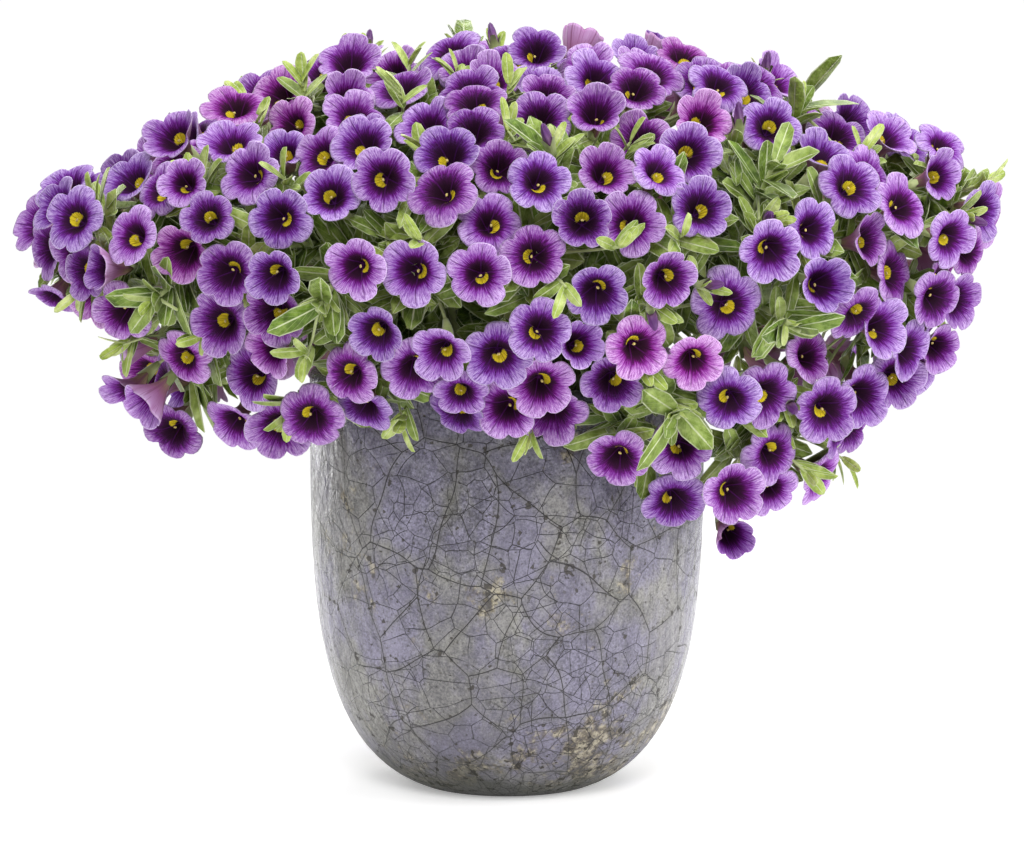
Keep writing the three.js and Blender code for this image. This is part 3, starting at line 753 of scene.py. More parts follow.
class Leaf:
    """A leaf: where it sits, which way it points and faces, and its size."""

    def __init__(self, stem, root, axis, item, key, size, rise, narrow=1.0, age_and_shade=1.0, swing=15,
                 sizes=(0.85, 1.1)):
        slope = math.radians(rise + draw(-swing, swing, key, "slope"))
        out = sideways(axis, math.tau * chance(key, "leaf_turn"))
        self.stem, self.root, self.item, self.age_and_shade = stem, root, item, age_and_shade
        self.direction = out * math.cos(slope) + axis * math.sin(slope)
        self.side = unit(cross(axis, self.direction))
        self.face = cross(self.direction, self.side)
        self.length = LEAF_LENGTH * size * draw(*sizes, key, "length")
        self.width = LEAF_WIDTH * size * narrow * draw(*sizes, key, "width")

    def room(self):
        x = np.arange(1, 10) / 9
        middle = self.root + (self.length * x)[:, None] * self.direction
        edge = self.half_width(x)[:, None] * self.side
        samples = np.concatenate([middle, middle + edge, middle - edge])
        centre, thickness = self.root + self.direction * self.length / 2, LEAF_THICKNESS / 2
        return Taken(self.stem, centre, self.length / 2, samples, thickness, self.holds)

    def half_width(self, x):
        return self.width / 2 * np.sqrt(np.maximum(0, np.sin(math.pi * (0.08 + 0.92 * x))))

    def holds(self, points, margin):
        off = points - self.root
        along, out, height = off @ self.direction, np.abs(off @ self.side), np.abs(off @ self.face)
        level = height < LEAF_THICKNESS / 2 + margin
        reaches = (along > -margin) & (along < self.length + margin)
        half_width = self.half_width(np.clip(along / self.length, 0, 1))
        return bool((level & reaches & (out < half_width + margin)).any())


large_leaves = []


def grow_leaf(stem, root, axis, item, size, rise):
    """Grows a large leaf that keeps clear of all that stands, apart from its own stem and stalks."""
    for attempt in range(LEAF_TRIES):
        leaf = Leaf(stem, root, axis, item, item * LEAF_TRIES + attempt, size, rise)
        room = leaf.room()
        if not over_pot(room.samples):
            continue
        room.samples = room.samples[np.sqrt(off_squared(room.samples, root)) > ROOT_SPAN]
        if is_free(room, lambda other: other.stem is stem and other.joins):
            put(room)
            large_leaves.append(leaf)
            return


for bloom in blooms:
    if chance(bloom.id, "leaf") <= LEAF_SHARE:
        share = min(0.7, draw(7, 13, bloom.id, "root") / math.dist(bloom.flare, bloom.joint))
        grow_leaf(bloom.stem, bloom.flare + (bloom.joint - bloom.flare) * share, bloom.axis, bloom.id, 1, 42)
for stem in leafy_shoots:
    for i in range(SHOOT_LEAVES):
        share = (i + 0.5) / SHOOT_LEAVES
        root = stem.hub + (stem.end - stem.hub) * (0.25 + 0.7 * share)
        item = SITE_TRIES + stem.index * SHOOT_LEAVES + i
        grow_leaf(stem, root, stem.tip["normal"], item, 1.1 - 0.4 * share, 15 + 50 * share)

# Under the blooms the plant is full of leaves, which keep clear of the blooms but not of each other.
limb_middles = np.array([limb.centre for limb in limbs])
throats = np.array([bloom.centre - bloom.axis * down for bloom in blooms for down in THROAT_PLACES])
low_corner, high_corner = (np.array(corner) / MM for corner in cad_box)


def clear_of_limbs(room):
    """Whether a leaf's room is clear of every bloom's limb."""
    apart = off_squared(limb_middles, room.centre)
    near = [limbs[k] for k in np.nonzero(apart < (room.bound + LIMB_REACH) ** 2)[0]]
    return not any(limb.holds(room.samples, LIMB_GAP) or room.holds(limb.samples, LIMB_GAP) for limb in near)


def has_room(points):
    """Whether points are clear of every throat and close to the room that the plant takes."""
    near = throats[off_squared(throats, points.mean(0)) < NEAR_THROAT**2]
    apart = off_squared(points[:, None], near)
    in_box = (points > low_corner - PAST_BOX).all() and (points < high_corner + PAST_BOX).all()
    return bool((apart > THROAT_GAP**2).all() and in_box)


def fill_leaf(found, stem, root, axis, item, size, rise, age_and_shade, narrow):
    """Adds a leaf that keeps clear of the limbs and the throats."""
    for attempt in range(FILL_TRIES):
        key = item * FILL_KEYS + attempt
        leaf = Leaf(stem, root, axis, item, key, size, rise, narrow, age_and_shade, swing=20, sizes=(0.75, 1.15))
        room = leaf.room()
        if over_pot(room.samples[3:]) and clear_of_limbs(room) and has_room(room.samples):
            found.append(leaf)
            return


fill_leaves = []
item = FIRST_FILL_ITEM
for bloom in blooms:
    for share in (0.40, 0.54, 0.70, 0.86):
        item += 1
        root = bloom.flare + (bloom.joint - bloom.flare) * (share + 0.1 * chance(item, "root"))
        # Leaves under the blooms get older, darker greens: partly their real age, partly painted shade where
        # little light reaches.
        age_and_shade = 0.7 * chance(item, "look")
        fill_leaf(fill_leaves, bloom.stem, root, bloom.axis, item, size=1.0, rise=30, age_and_shade=age_and_shade, narrow=0.72)
for stem in stems:
    for i in range(STEM_LEAVES):
        item += 1
        along = 2 + (i + chance(item, "root")) / STEM_LEAVES * 2.98
        j = int(along)
        line = stem.route[j + 1] - stem.route[j]
        root = stem.route[j] + line * (along - j)
        # Leaves along the stems, deepest inside, get darker greens still: partly their real age, partly
        # painted shade.
        age_and_shade = 0.4 * chance(item, "look")
        fill_leaf(fill_leaves, stem, root, unit(line), item, size=1.2, rise=35, age_and_shade=age_and_shade, narrow=0.8)

# Young tips push out between the blooms: a short twig with a tuft of small bright leaves.
bloom_middles = np.array([bloom.centre for bloom in blooms])
stem_ends = [(stem, share) for stem in stems for share in (0.2, 0.6, 0.95)]
stem_end_points = np.array([stem.hub + (stem.end - stem.hub) * share for stem, share in stem_ends])
young_tips = []
for i in range(SITE_TRIES):
    if len(young_tips) == YOUNG_TIPS:
        break
    place = tries_place[i]
    if off_squared(bloom_middles, place).min() < TIP_TO_BLOOM**2:
        continue
    if any(math.dist(place, tip["place"]) < TIP_APART for tip in young_tips):
        continue
    normal = mound_normal(float(tries_down[i]), float(tries_turn[i]))
    nearest = int(off_squared(stem_end_points, place).argmin())
    stem = stem_ends[nearest][0]
    top = place + normal * draw(-6, 5, i, "rise")
    tip = {"stem": stem, "place": place, "top": top, "normal": normal, "leaves": [],
           "joint": stem_end_points[nearest]}
    for j in range(TIP_LEAVES):
        item += 1
        up = j / (TIP_LEAVES - 1)
        root = top - normal * (TIP_LENGTH * (1 - (j + 1) / TIP_LEAVES))
        fill_leaf(tip["leaves"], stem, root, normal, item, size=0.85 - 0.25 * up, rise=20 + 45 * up,
                  age_and_shade=0.30 + 0.70 * up, narrow=0.75)
    if len(tip["leaves"]) >= LEAST_TIP_LEAVES:
        young_tips.append(tip)

# ---- Corollas ----
# A corolla is one petal-thin trumpet: a flat limb with five round lobes, a deep throat and a narrow tube.
# It is pale violet outside, streaked with purple inwards, nearly black in the throat, yellow on one side.
LOBES, SEGMENTS = 5, 20
UV_SPAN, CUP_NARROWS = 2.4, 0.55
VIOLET = [(0.28, (0.022, 0.006, 0.020)), (0.41, (0.042, 0.006, 0.044)), (0.50, (0.086, 0.005, 0.118)),
          (0.58, (0.165, 0.022, 0.255)), (0.66, (0.280, 0.110, 0.405)), (0.80, (0.370, 0.205, 0.500)),
          (1.00, (0.500, 0.345, 0.635))]
NET_PURPLE, STREAK_PURPLE, STREAK_PALE = (0.150, 0.045, 0.270), (0.120, 0.026, 0.215), (0.640, 0.500, 0.760)
VEIN_PURPLE, RIM_PALE = (0.070, 0.010, 0.105), (0.780, 0.680, 0.870)
MUSTARD, YELLOW = (0.220, 0.130, 0.012), (0.740, 0.580, 0.030)
MAUVE = [(0.10, (0.300, 0.270, 0.110)), (0.24, (0.250, 0.120, 0.140)), (0.45, (0.340, 0.130, 0.290)),
         (0.75, (0.460, 0.240, 0.470)), (1.0, (0.580, 0.400, 0.650))]
BACK_STREAK, BACK_VEIN = (0.200, 0.040, 0.140), (0.220, 0.070, 0.160)
POLLEN = [(0.35, (0.30, 0.20, 0.05)), (0.65, (0.75, 0.62, 0.22))]


def shared_effect(name, wants, gives):
    """An empty node group with the numbers that it wants and what it gives, and its two ends."""
    group = bpy.data.node_groups.new(name, "ShaderNodeTree")
    for label in wants:
        group.interface.new_socket(label, in_out="INPUT", socket_type="NodeSocketFloat")
    for label in gives:
        kind = "NodeSocketVector" if label == "Flat" else "NodeSocketFloat"
        group.interface.new_socket(label, in_out="OUTPUT", socket_type=kind)
    taken = group.nodes.new("NodeGroupInput").outputs
    return group, [Output(taken[label]) for label in wants], group.nodes.new("NodeGroupOutput").inputs


def effect(tree, group, **values):
    """Places a node group in a material with its values, and gives what it puts out."""
    outputs = [Output(socket) for socket in new_node(tree, "Group", {"node_tree": group}, **values).outputs]
    return outputs if len(outputs) > 1 else outputs[0]


# How far out on its bloom a place is, its angle, how near its rim it is, and the bloom's two draws.
on_bloom, _, given = shared_effect("on_bloom", [], ["Flat", "Out", "Angle", "Tint", "Fade", "Rim"])
uv = Output(new_node(on_bloom, "UVMap", {"uv_map": "petal"}).outputs["UV"])
flat = uv * UV_SPAN - (UV_SPAN / 2, UV_SPAN / 2, 0)
x, y, _ = split(flat)
join(given["Flat"], flat)
join(given["Out"], sums("LENGTH", flat))
join(given["Angle"], sums("ARCTAN2", y, x))
for label in ("Tint", "Fade", "Rim"):
    join(given[label], new_node(on_bloom, "Attribute", {"attribute_name": label.lower()}).outputs["Fac"])

# Streaks that run outwards, each bloom's its own.
petal_streaks, (out, angle, tint, fineness, length), given = shared_effect(
    "petal_streaks", ["Out", "Angle", "Draw", "Fineness", "Length"], ["Streaks"])
ring = new_node(petal_streaks, "CombineXYZ", X=sums("COSINE", angle) * fineness,
                Y=sums("SINE", angle) * fineness, Z=out * length + tint * 40)
join(given["Streaks"], noise(Output(ring.outputs["Vector"]), 1.0, 3, 0.6))

# 1 on the main vein in the middle of each lobe.
lobe_vein, (out, angle, width), given = shared_effect("lobe_vein", ["Out", "Angle", "Width"], ["Vein"])
across = sums("FRACT", angle * (LOBES / math.tau) + 5.5) - 0.5
apart = sums("ABSOLUTE", across) * (out * (math.tau / LOBES))
join(given["Vein"], between(apart, width, width * 0.25) * between(out, 1.08, 0.70))

petal_face, petal = new_material("petal_face")
tree = petal_face.node_tree
flat, out, angle, tint, fade, rim = effect(tree, on_bloom)
broad, fine, thin, wide = (
    effect(tree, petal_streaks, Out=out, Angle=angle, Draw=tint, Fineness=fineness, Length=length)
    for fineness, length in ((5.0, 1.6), (18.0, 4.0), (27.0, 5.0), (14.0, 0.5)))
main_vein = effect(tree, lobe_vein, Out=out, Angle=angle, Width=0.029)
shift = (broad - 0.5) * 0.30 + (fine - 0.5) * 0.72 + (tint - 0.5) * 0.16
violet = ramp(out + shift * between(out, 0.22, 0.5), VIOLET)
off_net = sums("ABSOLUTE", noise(flat, 13, 3, 0.7, distortion=1.2) - 0.5)
violet = blend(between(off_net, 0.05, 0.0) * between(out, 0.35, 0.6) * 0.62, violet, NET_PURPLE)
violet = blend(between(thin, 0.53, 0.60) * between(out, 0.40, 0.60) * 0.66, violet, STREAK_PURPLE)
violet = blend(between(thin, 0.46, 0.38) * between(out, 0.58, 0.76) * 0.44, violet, STREAK_PALE)
violet = blend(main_vein * 0.70, violet, VEIN_PURPLE)
violet = blend(between(rim, 1.08, 1.15) * 0.62, violet, RIM_PALE)
pinker = new_node(tree, "HueSaturation", Hue=fade * 0.04 + between(fade, 0.88, 0.98) * 0.025 + 0.482,
                  Value=tint * 0.3 + 0.86, Color=violet)
# The patch on one side of the throat.
off_side = sums("ABSOLUTE", angle) * out / 0.245
off_ring = (out - 0.218) / 0.088
off_patch = sums("SQRT", off_side * off_side + off_ring * off_ring)
patch = between(off_patch + (fine - 0.5) * 0.9, 1.04, 0.92)
yellow = blend(between(wide, 0.36, 0.50), MUSTARD, YELLOW)
give(petal, Base_Color=blend(patch, Output(pinker.outputs["Color"]), yellow), Roughness=0.6,
     Specular_IOR_Level=0.04, Normal=relief(fine * 0.8 + main_vein * -0.8, 0.5, 0.0008))

petal_back, petal = new_material("petal_back")
tree = petal_back.node_tree
_, out, angle, tint, _, _ = effect(tree, on_bloom)
veined = effect(tree, petal_streaks, Out=out, Angle=angle, Draw=tint, Fineness=11.0, Length=1.5)
mauve = ramp(out + (veined - 0.5) * 0.3, MAUVE)
mauve = blend(between(veined, 0.54, 0.62) * 0.5, mauve, BACK_STREAK)
mauve = blend(effect(tree, lobe_vein, Out=out, Angle=angle, Width=0.05) * 0.6, mauve, BACK_VEIN)
give(petal, Base_Color=mauve, Roughness=0.6, Specular_IOR_Level=0.15, Normal=relief(veined, 0.4, 0.0006))

pollen, shader = new_material("pollen")
grains = noise(place_on(pollen), 1800, 3, 0.6)
give(shader, Base_Color=ramp(grains, POLLEN), Roughness=0.8, Normal=relief(grains, 0.6, 0.0002))

# The rings of a corolla from its throat out to its rim and back down its tube, all in shares of its radius:
# how far out, how far forward, and how much of the lobes shows there.
FACE_RINGS = [(0.11, -0.62, 0.0), (0.25, -0.36, 0.0), (0.50, -0.110, 0.10), (0.84, -0.020, 0.55),
              (1.16, -0.030, 1.0)]
BACK_RINGS = [(0.80, -0.080, 0.55), (0.27, -0.43, 0.0), (0.18, -0.74, 0.0), (0.11, -1.15, 0.0)]
THROAT_SHARE, THROAT_END = 0.3, (0, 0, -0.68)
# How far out a lobe reaches at its middle, beside it and at the notch, and how far the rim there leans to
# the notch. Each lobe's reach and curl, and each rim point's jag and frill, lie between a least and a most.
LOBE_SHAPE = [1.0, 0.975, 0.72, 0.975]
TOWARDS_NOTCH = [0, math.radians(8), 0, math.radians(-8)]
LOBE_REACH, RIM_JAG, RIM_FRILL = (0.94, 1.05), (0.97, 1.03), (-1.4, 1.4)
STRONG_CURL, SOFT_CURL = (-0.45, 0.26), (-0.32, 0.14)
# The notch curls less than its lobes, sinks a little, and is creased past a share of the way out. The back
# of a half-shut limb stands off its face.
NOTCH_CURL, NOTCH_SINK, NOTCH_FROM, CUP_BACK = 0.6, 0.05, 0.4, 0.12
STYLE_SHAPE, STYLE_PLACE, STYLE_RADIUS = (1.0, 1.4, 0.8), (0.06, 0, -0.33), 0.05


def extruded(bm, edges):
    """Draws out a ring of edges, and gives the new edges and points."""
    grown = bmesh.ops.extrude_edge_only(bm, edges=edges)["geom"]
    kinds = (bmesh.types.BMEdge, bmesh.types.BMVert)
    return [[part for part in grown if isinstance(part, kind)] for kind in kinds]


def corolla_shape(kind, cup, wave):
    """A corolla with its limb bent forward by cup, its rim waved, and each lobe a little its own way."""
    bm = bmesh.new()
    uv = bm.loops.layers.uv.new("petal")
    for layer in ("tint", "fade", "rim"):
        bm.verts.layers.float.new(layer)
    to_rim = bm.verts.layers.float["rim"]
    crease = bm.edges.layers.float.new("crease_edge")
    reach = [draw(*LOBE_REACH, kind * LOBES + j, "length") for j in range(LOBES)]
    curls = STRONG_CURL if kind % 3 == 1 else SOFT_CURL
    curl = [draw(*curls, kind * LOBES + j, "slope") for j in range(LOBES)]
    frill = [draw(*RIM_FRILL, kind * SEGMENTS + k, "steepness") for k in range(SEGMENTS)]
    jag = [draw(*RIM_JAG, kind * SEGMENTS + k, "turn") for k in range(SEGMENTS)]
    cupped = max(0, cup)
    ring = bmesh.ops.create_circle(bm, cap_ends=False, segments=SEGMENTS, radius=1)["verts"]
    spots = [(v, round(math.atan2(v.co.y, v.co.x) / math.tau * SEGMENTS) % SEGMENTS) for v in ring]
    notched = set()
    centre = bm.verts.new(THROAT_END)
    edges = bm.edges[:]
    rings = []
    for share, forward, lobed in FACE_RINGS + BACK_RINGS:
        if rings:
            edges, ring = extruded(bm, edges)
            before = dict(spots)
            roots = [next(o for o in (e.other_vert(v) for e in v.link_edges) if o in before) for v in ring]
            spots = [(v, before[root]) for v, root in zip(ring, roots)]
        for vert, k in spots:
            at_notch = k % 4 == 2
            turn = k * math.tau / SEGMENTS + TOWARDS_NOTCH[k % 4] * lobed
            near = [(k + 1) // 4 % LOBES] + [(k + 2) // 4 % LOBES] * at_notch
            lobe = 1 - (1 - LOBE_SHAPE[k % 4] * jag[k] * sum(reach[j] for j in near) / len(near)) * lobed
            bent = NOTCH_CURL * min(curl[j] for j in near) - NOTCH_SINK if at_notch else curl[near[0]]
            ripple = lobed * (wave * (math.sin(2 * turn + kind * 1.7) + frill[k]) + bent * lobed)
            lift = cup * share**2 if share > THROAT_SHARE else 0
            out = share * lobe * (1 - CUP_NARROWS * cupped * share)
            if len(rings) >= len(FACE_RINGS) and share > THROAT_SHARE:
                out += CUP_BACK * cupped
            vert.co = (out * math.cos(turn), out * math.sin(turn), forward + ripple + lift)
            vert[to_rim] = share
            if at_notch and share > NOTCH_FROM:
                notched.add(vert)
        rings.append([v for v, _ in spots])
    for edge in bm.edges:
        if edge.verts[0] in notched and edge.verts[1] in notched:
            edge[crease] = 1
    throat = sorted(rings[0], key=lambda v: math.atan2(v.co.y, v.co.x))
    for a, b in zip(throat, throat[1:] + throat[:1]):
        bm.faces.new((a, b, centre))
    bmesh.ops.contextual_create(bm, geom=edges)
    bmesh.ops.recalc_face_normals(bm, faces=bm.faces[:])
    face_verts = {v for ring in rings[: len(FACE_RINGS)] for v in ring} | {centre}
    for face in bm.faces:
        face.material_index = 0 if all(v in face_verts for v in face.verts) else 1
        for loop in face.loops:
            x, y = loop.vert.co.x, loop.vert.co.y
            stretch = 1 / max(0.2, 1 - CUP_NARROWS * cupped * math.hypot(x, y)) / UV_SPAN
            loop[uv].uv = (0.5 + x * stretch, 0.5 + y * stretch)
    style = bmesh.ops.create_icosphere(bm, subdivisions=1, radius=STYLE_RADIUS)
    bmesh.ops.scale(bm, verts=style["verts"], vec=STYLE_SHAPE)
    bmesh.ops.translate(bm, verts=style["verts"], vec=STYLE_PLACE)
    for vert in style["verts"]:
        for face in vert.link_faces:
            face.material_index = 2
    return mesh_from("corolla", bm)


# How far each open or half-shut corolla cups forward, and how much its rim waves.
OPEN_SHAPES = [corolla_shape(kind, *cup_and_wave) for kind, cup_and_wave in enumerate(
    [(0.06, 0.020), (-0.03, 0.030), (0.12, 0.030), (0.05, 0.040), (0.0, 0.045), (0.15, 0.025), (0.02, 0.055),
     (0.09, 0.035)])]
CUPPED_SHAPES = [corolla_shape(len(OPEN_SHAPES) + k, *cup_and_wave) for k, cup_and_wave in enumerate(
    [(0.42, 0.05), (0.62, 0.06), (0.30, 0.08), (0.24, 0.10)])]
CUPPED_SHARE, MOST_NOD, BEND_STEPS = 0.15, math.radians(19), 24


class Bend:
    """A smooth way from one point to another, with two directions square to it at each place along it."""

    def __init__(self, start, start_direction, end, end_direction, first_side, pull=0.4):
        length = math.dist(start, end)
        t = np.linspace(0, 1, BEND_STEPS + 1)[:, None]
        leaving, coming = start + start_direction * length * pull, end - end_direction * length * pull
        self.points = arch(start, leaving, coming, end, t)
        self.finish(first_side)

    def finish(self, first_side):
        steps = np.diff(self.points, axis=0)
        self.far = np.concatenate([[0], np.cumsum(np.sqrt((steps**2).sum(1)))])
        self.length = float(self.far[-1])
        self.frames = []
        side = first_side
        for i in range(len(self.points)):
            line = unit(self.points[min(i + 1, len(self.points) - 1)] - self.points[max(i - 1, 0)])
            side = unit(side - line * (side @ line))
            self.frames.append((side, cross(line, side), line))

    def at(self, distance):
        """The point at a distance along, and its three directions."""
        i = min(max(int(np.searchsorted(self.far, distance, side="right")) - 1, 0), len(self.far) - 2)
        t = (distance - self.far[i]) / (self.far[i + 1] - self.far[i])
        point = self.points[i] + (self.points[i + 1] - self.points[i]) * t
        return point, self.frames[i if t < 0.5 else i + 1]


class Way(Bend):
    """A smooth way through a row of points."""

    def __init__(self, route, first_side, steps=5):
        row = [2 * route[0] - route[1], *route, 2 * route[-1] - route[-2]]
        parts = zip(row, row[1:], row[2:], row[3:])
        shares = np.arange(steps) / steps
        self.points = np.array([*(curve(*part, t) for part in parts for t in shares), route[-1]])
        self.finish(first_side)


def add_copy(bm, shape, moved, **draws):
    """Adds a copy of a shape to a bmesh, each point moved by a rule and given its item's draws."""
    first = len(bm.verts)
    bm.from_mesh(shape)
    bm.verts.ensure_lookup_table()
    layers = [(bm.verts.layers.float[name], value) for name, value in draws.items()]
    for vert in bm.verts[first:]:
        vert.co = moved(*vert.co) * MM
        for layer, value in layers:
            vert[layer] = value


def corolla_mover(bloom):
    a = sideways(bloom.axis, bloom.spin)
    b = cross(bloom.axis, a)

    def moved(x, y, z):
        down = -z * BLOOM_RADIUS - FLARE_DEPTH
        if down <= 0 or math.hypot(x, y) > THROAT_SHARE:
            return bloom.centre + (a * x + b * y) * bloom.radius + bloom.axis * z * bloom.radius
        point, (one, two, _) = bloom.way.at(min(down, bloom.way.length))
        return point + (one * x - two * y) * BLOOM_RADIUS

    return moved


for bloom in blooms:
    nod = sideways(bloom.axis, math.tau * chance(bloom.id, "nod")) * math.tan(MOST_NOD)
    bloom.axis = unit(bloom.axis + nod * chance(bloom.id, "width"))
    bloom.flare = bloom.centre - bloom.axis * FLARE_DEPTH
    a = sideways(bloom.axis, bloom.spin)
    bloom.way = Bend(bloom.flare, -bloom.axis, bloom.joint, unit(bloom.joint - bloom.flare), a, 0.42)
for stem in flowering_stems:
    bm = bmesh.new()
    for bloom in [b for b in blooms if b.stem is stem]:
        shapes = CUPPED_SHAPES if chance(bloom.id, "joint") < CUPPED_SHARE else OPEN_SHAPES
        add_copy(bm, shapes[bloom.id % len(shapes)], corolla_mover(bloom),
                 tint=chance(bloom.id, "look"), fade=chance(bloom.id, "shape"))
    name = f"blooms_{stem.index + 1:02d}"
    finish_piece(name, bm, [petal_face, petal_back, pollen], [stem.node], levels=1)

# ---- Stems, stalks and calyces ----
# Soft green stems and thread-thin stalks, each stalk ending in a calyx of five narrow lobes that holds the
# corolla's tube. They are all one growth, so each stem's are one piece with its leaves.
STEM_GREEN = [(0.35, (0.260, 0.320, 0.110)), (0.65, (0.470, 0.530, 0.230))]
OLD_GREEN = [(0.36, (0.040, 0.076, 0.006)), (0.50, (0.090, 0.165, 0.014)), (0.64, (0.205, 0.305, 0.048))]
YOUNG_GREEN = [(0.36, (0.270, 0.370, 0.050)), (0.50, (0.450, 0.560, 0.120)), (0.64, (0.660, 0.740, 0.300))]
VEIN_GREEN, RIB_GREEN, EDGE_GREEN = (0.400, 0.480, 0.180), (0.620, 0.670, 0.420), (0.680, 0.720, 0.500)
BUD_SKIN = [(0.10, (0.300, 0.380, 0.080)), (0.40, (0.260, 0.140, 0.230)), (0.75, (0.120, 0.030, 0.170))]
FURL_PURPLE = (0.060, 0.012, 0.090)
STALK_RINGS, STEM_RINGS, TWIG_RINGS = 6, 14, 3
STALK_TOP_RADIUS, TWIG_RADIUS, TWIG_TIP_RADIUS = 0.85, 0.9, 0.6
CALYX_AT, CALYX_POINTS, CALYX_THICKNESS = 15.5, 10, 0.25
BUD_LENGTH, BUD_RADIUS, BUD_TWIST, BUD_SHARE, BUD_SINK = 19, 2.9, 1.6, 0.26, 3
# Which of a green piece's materials a face has. The blades have the first.
GREEN, SKIN = 1, 2

green_stem, shader = new_material("green_stem")
place = place_on(green_stem)
give(shader, Base_Color=ramp(noise(place, 90, 4, 0.6), STEM_GREEN), Roughness=0.55, Sheen_Weight=0.3,
     Normal=relief(noise(place, 900, 2), 0.3, 0.0003))

leaf_blade, blade = new_material("leaf_blade")
tree = leaf_blade.node_tree
along, across, _ = split(Output(new_node(tree, "UVMap", {"uv_map": "blade"}).outputs["UV"]))
age_and_shade = Output(new_node(tree, "Attribute", {"attribute_name": "tint"}).outputs["Fac"])
place = place_on(leaf_blade)
patchy = noise(place, 120, 4, 0.6)
off_rib = sums("ABSOLUTE", across - 0.5)
rib = between(off_rib, 0.055, 0.015)
side_vein = sums("ABSOLUTE", sums("FRACT", along * 6 - off_rib * 5.0) - 0.5)
side_vein = between(side_vein, 0.09, 0.02)
# Older, darker green where the tint is low. On the leaves inside the plant this darkening is partly painted
# shade.
green = blend(age_and_shade, ramp(patchy, OLD_GREEN), ramp(patchy, YOUNG_GREEN))
green = blend(side_vein * 0.38, green, VEIN_GREEN)
green = blend(rib * 0.80, green, RIB_GREEN)
green = blend(between(off_rib, 0.43, 0.49) * 0.70, green, EDGE_GREEN)
puckers = relief(noise(place, 330, 2), 0.6, 0.0018)
give(blade, Base_Color=green, Roughness=0.34, Specular_IOR_Level=0.25, Sheen_Weight=0.02, Sheen_Roughness=0.4,
     Normal=relief(rib * -1.0 + side_vein * -0.5, 0.5, 0.0006, Normal=puckers))


def green_bmesh():
    """A new bmesh with the layers that all green shapes have."""
    bm = bmesh.new()
    bm.loops.layers.uv.new("blade")
    bm.verts.layers.float.new("tint")
    return bm


def rod_shape(name, rings, sides):
    """A straight closed rod of radius 1 that is as many units long as it has rings."""
    bm = green_bmesh()
    bmesh.ops.create_cone(bm, cap_ends=True, segments=sides, radius1=1, radius2=1, depth=rings)
    bmesh.ops.translate(bm, verts=bm.verts[:], vec=(0, 0, rings / 2))
    for k in range(1, rings):
        whole = bm.verts[:] + bm.edges[:] + bm.faces[:]
        bmesh.ops.bisect_plane(bm, geom=whole, plane_co=(0, 0, k), plane_no=(0, 0, 1))
    for face in bm.faces:
        face.material_index = GREEN
    return mesh_from(name, bm)


def leaf_shape(name, parts, droop, fold, twist):
    """A leaf blade one unit long and wide, folded along its rib."""
    bm = green_bmesh()
    uv = bm.loops.layers.uv["blade"]
    bmesh.ops.create_grid(bm, x_segments=parts, y_segments=2, size=0.5)
    for vert in bm.verts:
        vert.co.x = 0.5 + 0.5 * math.sin(math.pi * vert.co.x)
    for face in bm.faces:
        for loop in face.loops:
            loop[uv].uv = (loop.vert.co.x, loop.vert.co.y + 0.5)
    bmesh.ops.solidify(bm, geom=bm.faces[:], thickness=0.05)
    for vert in bm.verts:
        x, y, z = vert.co
        from_middle = min(max(2 * x - 1, -1), 1)
        across = y * (0.10 + 1.10 * math.sqrt(1 - from_middle**2) * (1 + 0.12 * from_middle))
        vert.co = (x, across, z * 0.4 - droop * x * x + fold * abs(across) + twist * across * x)
    bmesh.ops.recalc_face_normals(bm, faces=bm.faces[:])
    return mesh_from(name, bm)


stalk_rod = rod_shape("stalk", STALK_RINGS, 5)
stem_rod = rod_shape("stem", STEM_RINGS, 8)
twig_rod = rod_shape("twig", TWIG_RINGS, 5)
# How much each kind of leaf droops, folds along its rib and twists.
LEAF_SHAPES = [leaf_shape(f"leaf_{k}", 6, *form) for k, form in
               enumerate([(0.10, 0.22, 0.05), (0.18, 0.12, -0.10), (0.04, 0.32, 0.10), (0.26, 0.18, 0.0)])]
FILL_SHAPES = [leaf_shape(f"fill_leaf_{k}", 4, *form) for k, form in
               enumerate([(0.14, 0.20, 0.05), (0.24, 0.12, -0.10), (0.04, 0.30, 0.10)])]

# The calyx widens from the tube in two steps, and at the second its five points stand out and reach on.
bm = green_bmesh()
bmesh.ops.create_circle(bm, cap_ends=False, segments=CALYX_POINTS, radius=1.0)
edges = bm.edges[:]
for out, up, point_out, point_up in ((2.0, -4.0, 0, 0), (2.6, -7.5, 1.0, -4.0)):
    edges, ring = extruded(bm, edges)
    for vert in ring:
        turn = math.atan2(vert.co.y, vert.co.x)
        pointed = round(turn / math.tau * CALYX_POINTS) % 2 == 0
        wide, high = out + point_out * pointed, up + point_up * pointed
        vert.co = (wide * math.cos(turn), wide * math.sin(turn), high)
for face in bm.faces:
    face.material_index = GREEN
bmesh.ops.solidify(bm, geom=bm.faces[:], thickness=CALYX_THICKNESS)
bmesh.ops.recalc_face_normals(bm, faces=bm.faces[:])
calyx_shape = mesh_from("calyx", bm)

# Furled buds stand on some of the young tips, green at the foot and dark violet at the point.
bud_skin, shader = new_material("bud_skin")
along, around, _ = split(Output(new_node(bud_skin.node_tree, "UVMap", {"uv_map": "blade"}).outputs["UV"]))
furl = sums("SINE", (around + along * 0.5) * (LOBES * math.tau))
skin = blend(between(furl, 0.2, 0.9) * 0.5, ramp(along, BUD_SKIN), FURL_PURPLE)
give(shader, Base_Color=skin, Roughness=0.5, Normal=relief(furl, 0.5, 0.0006))

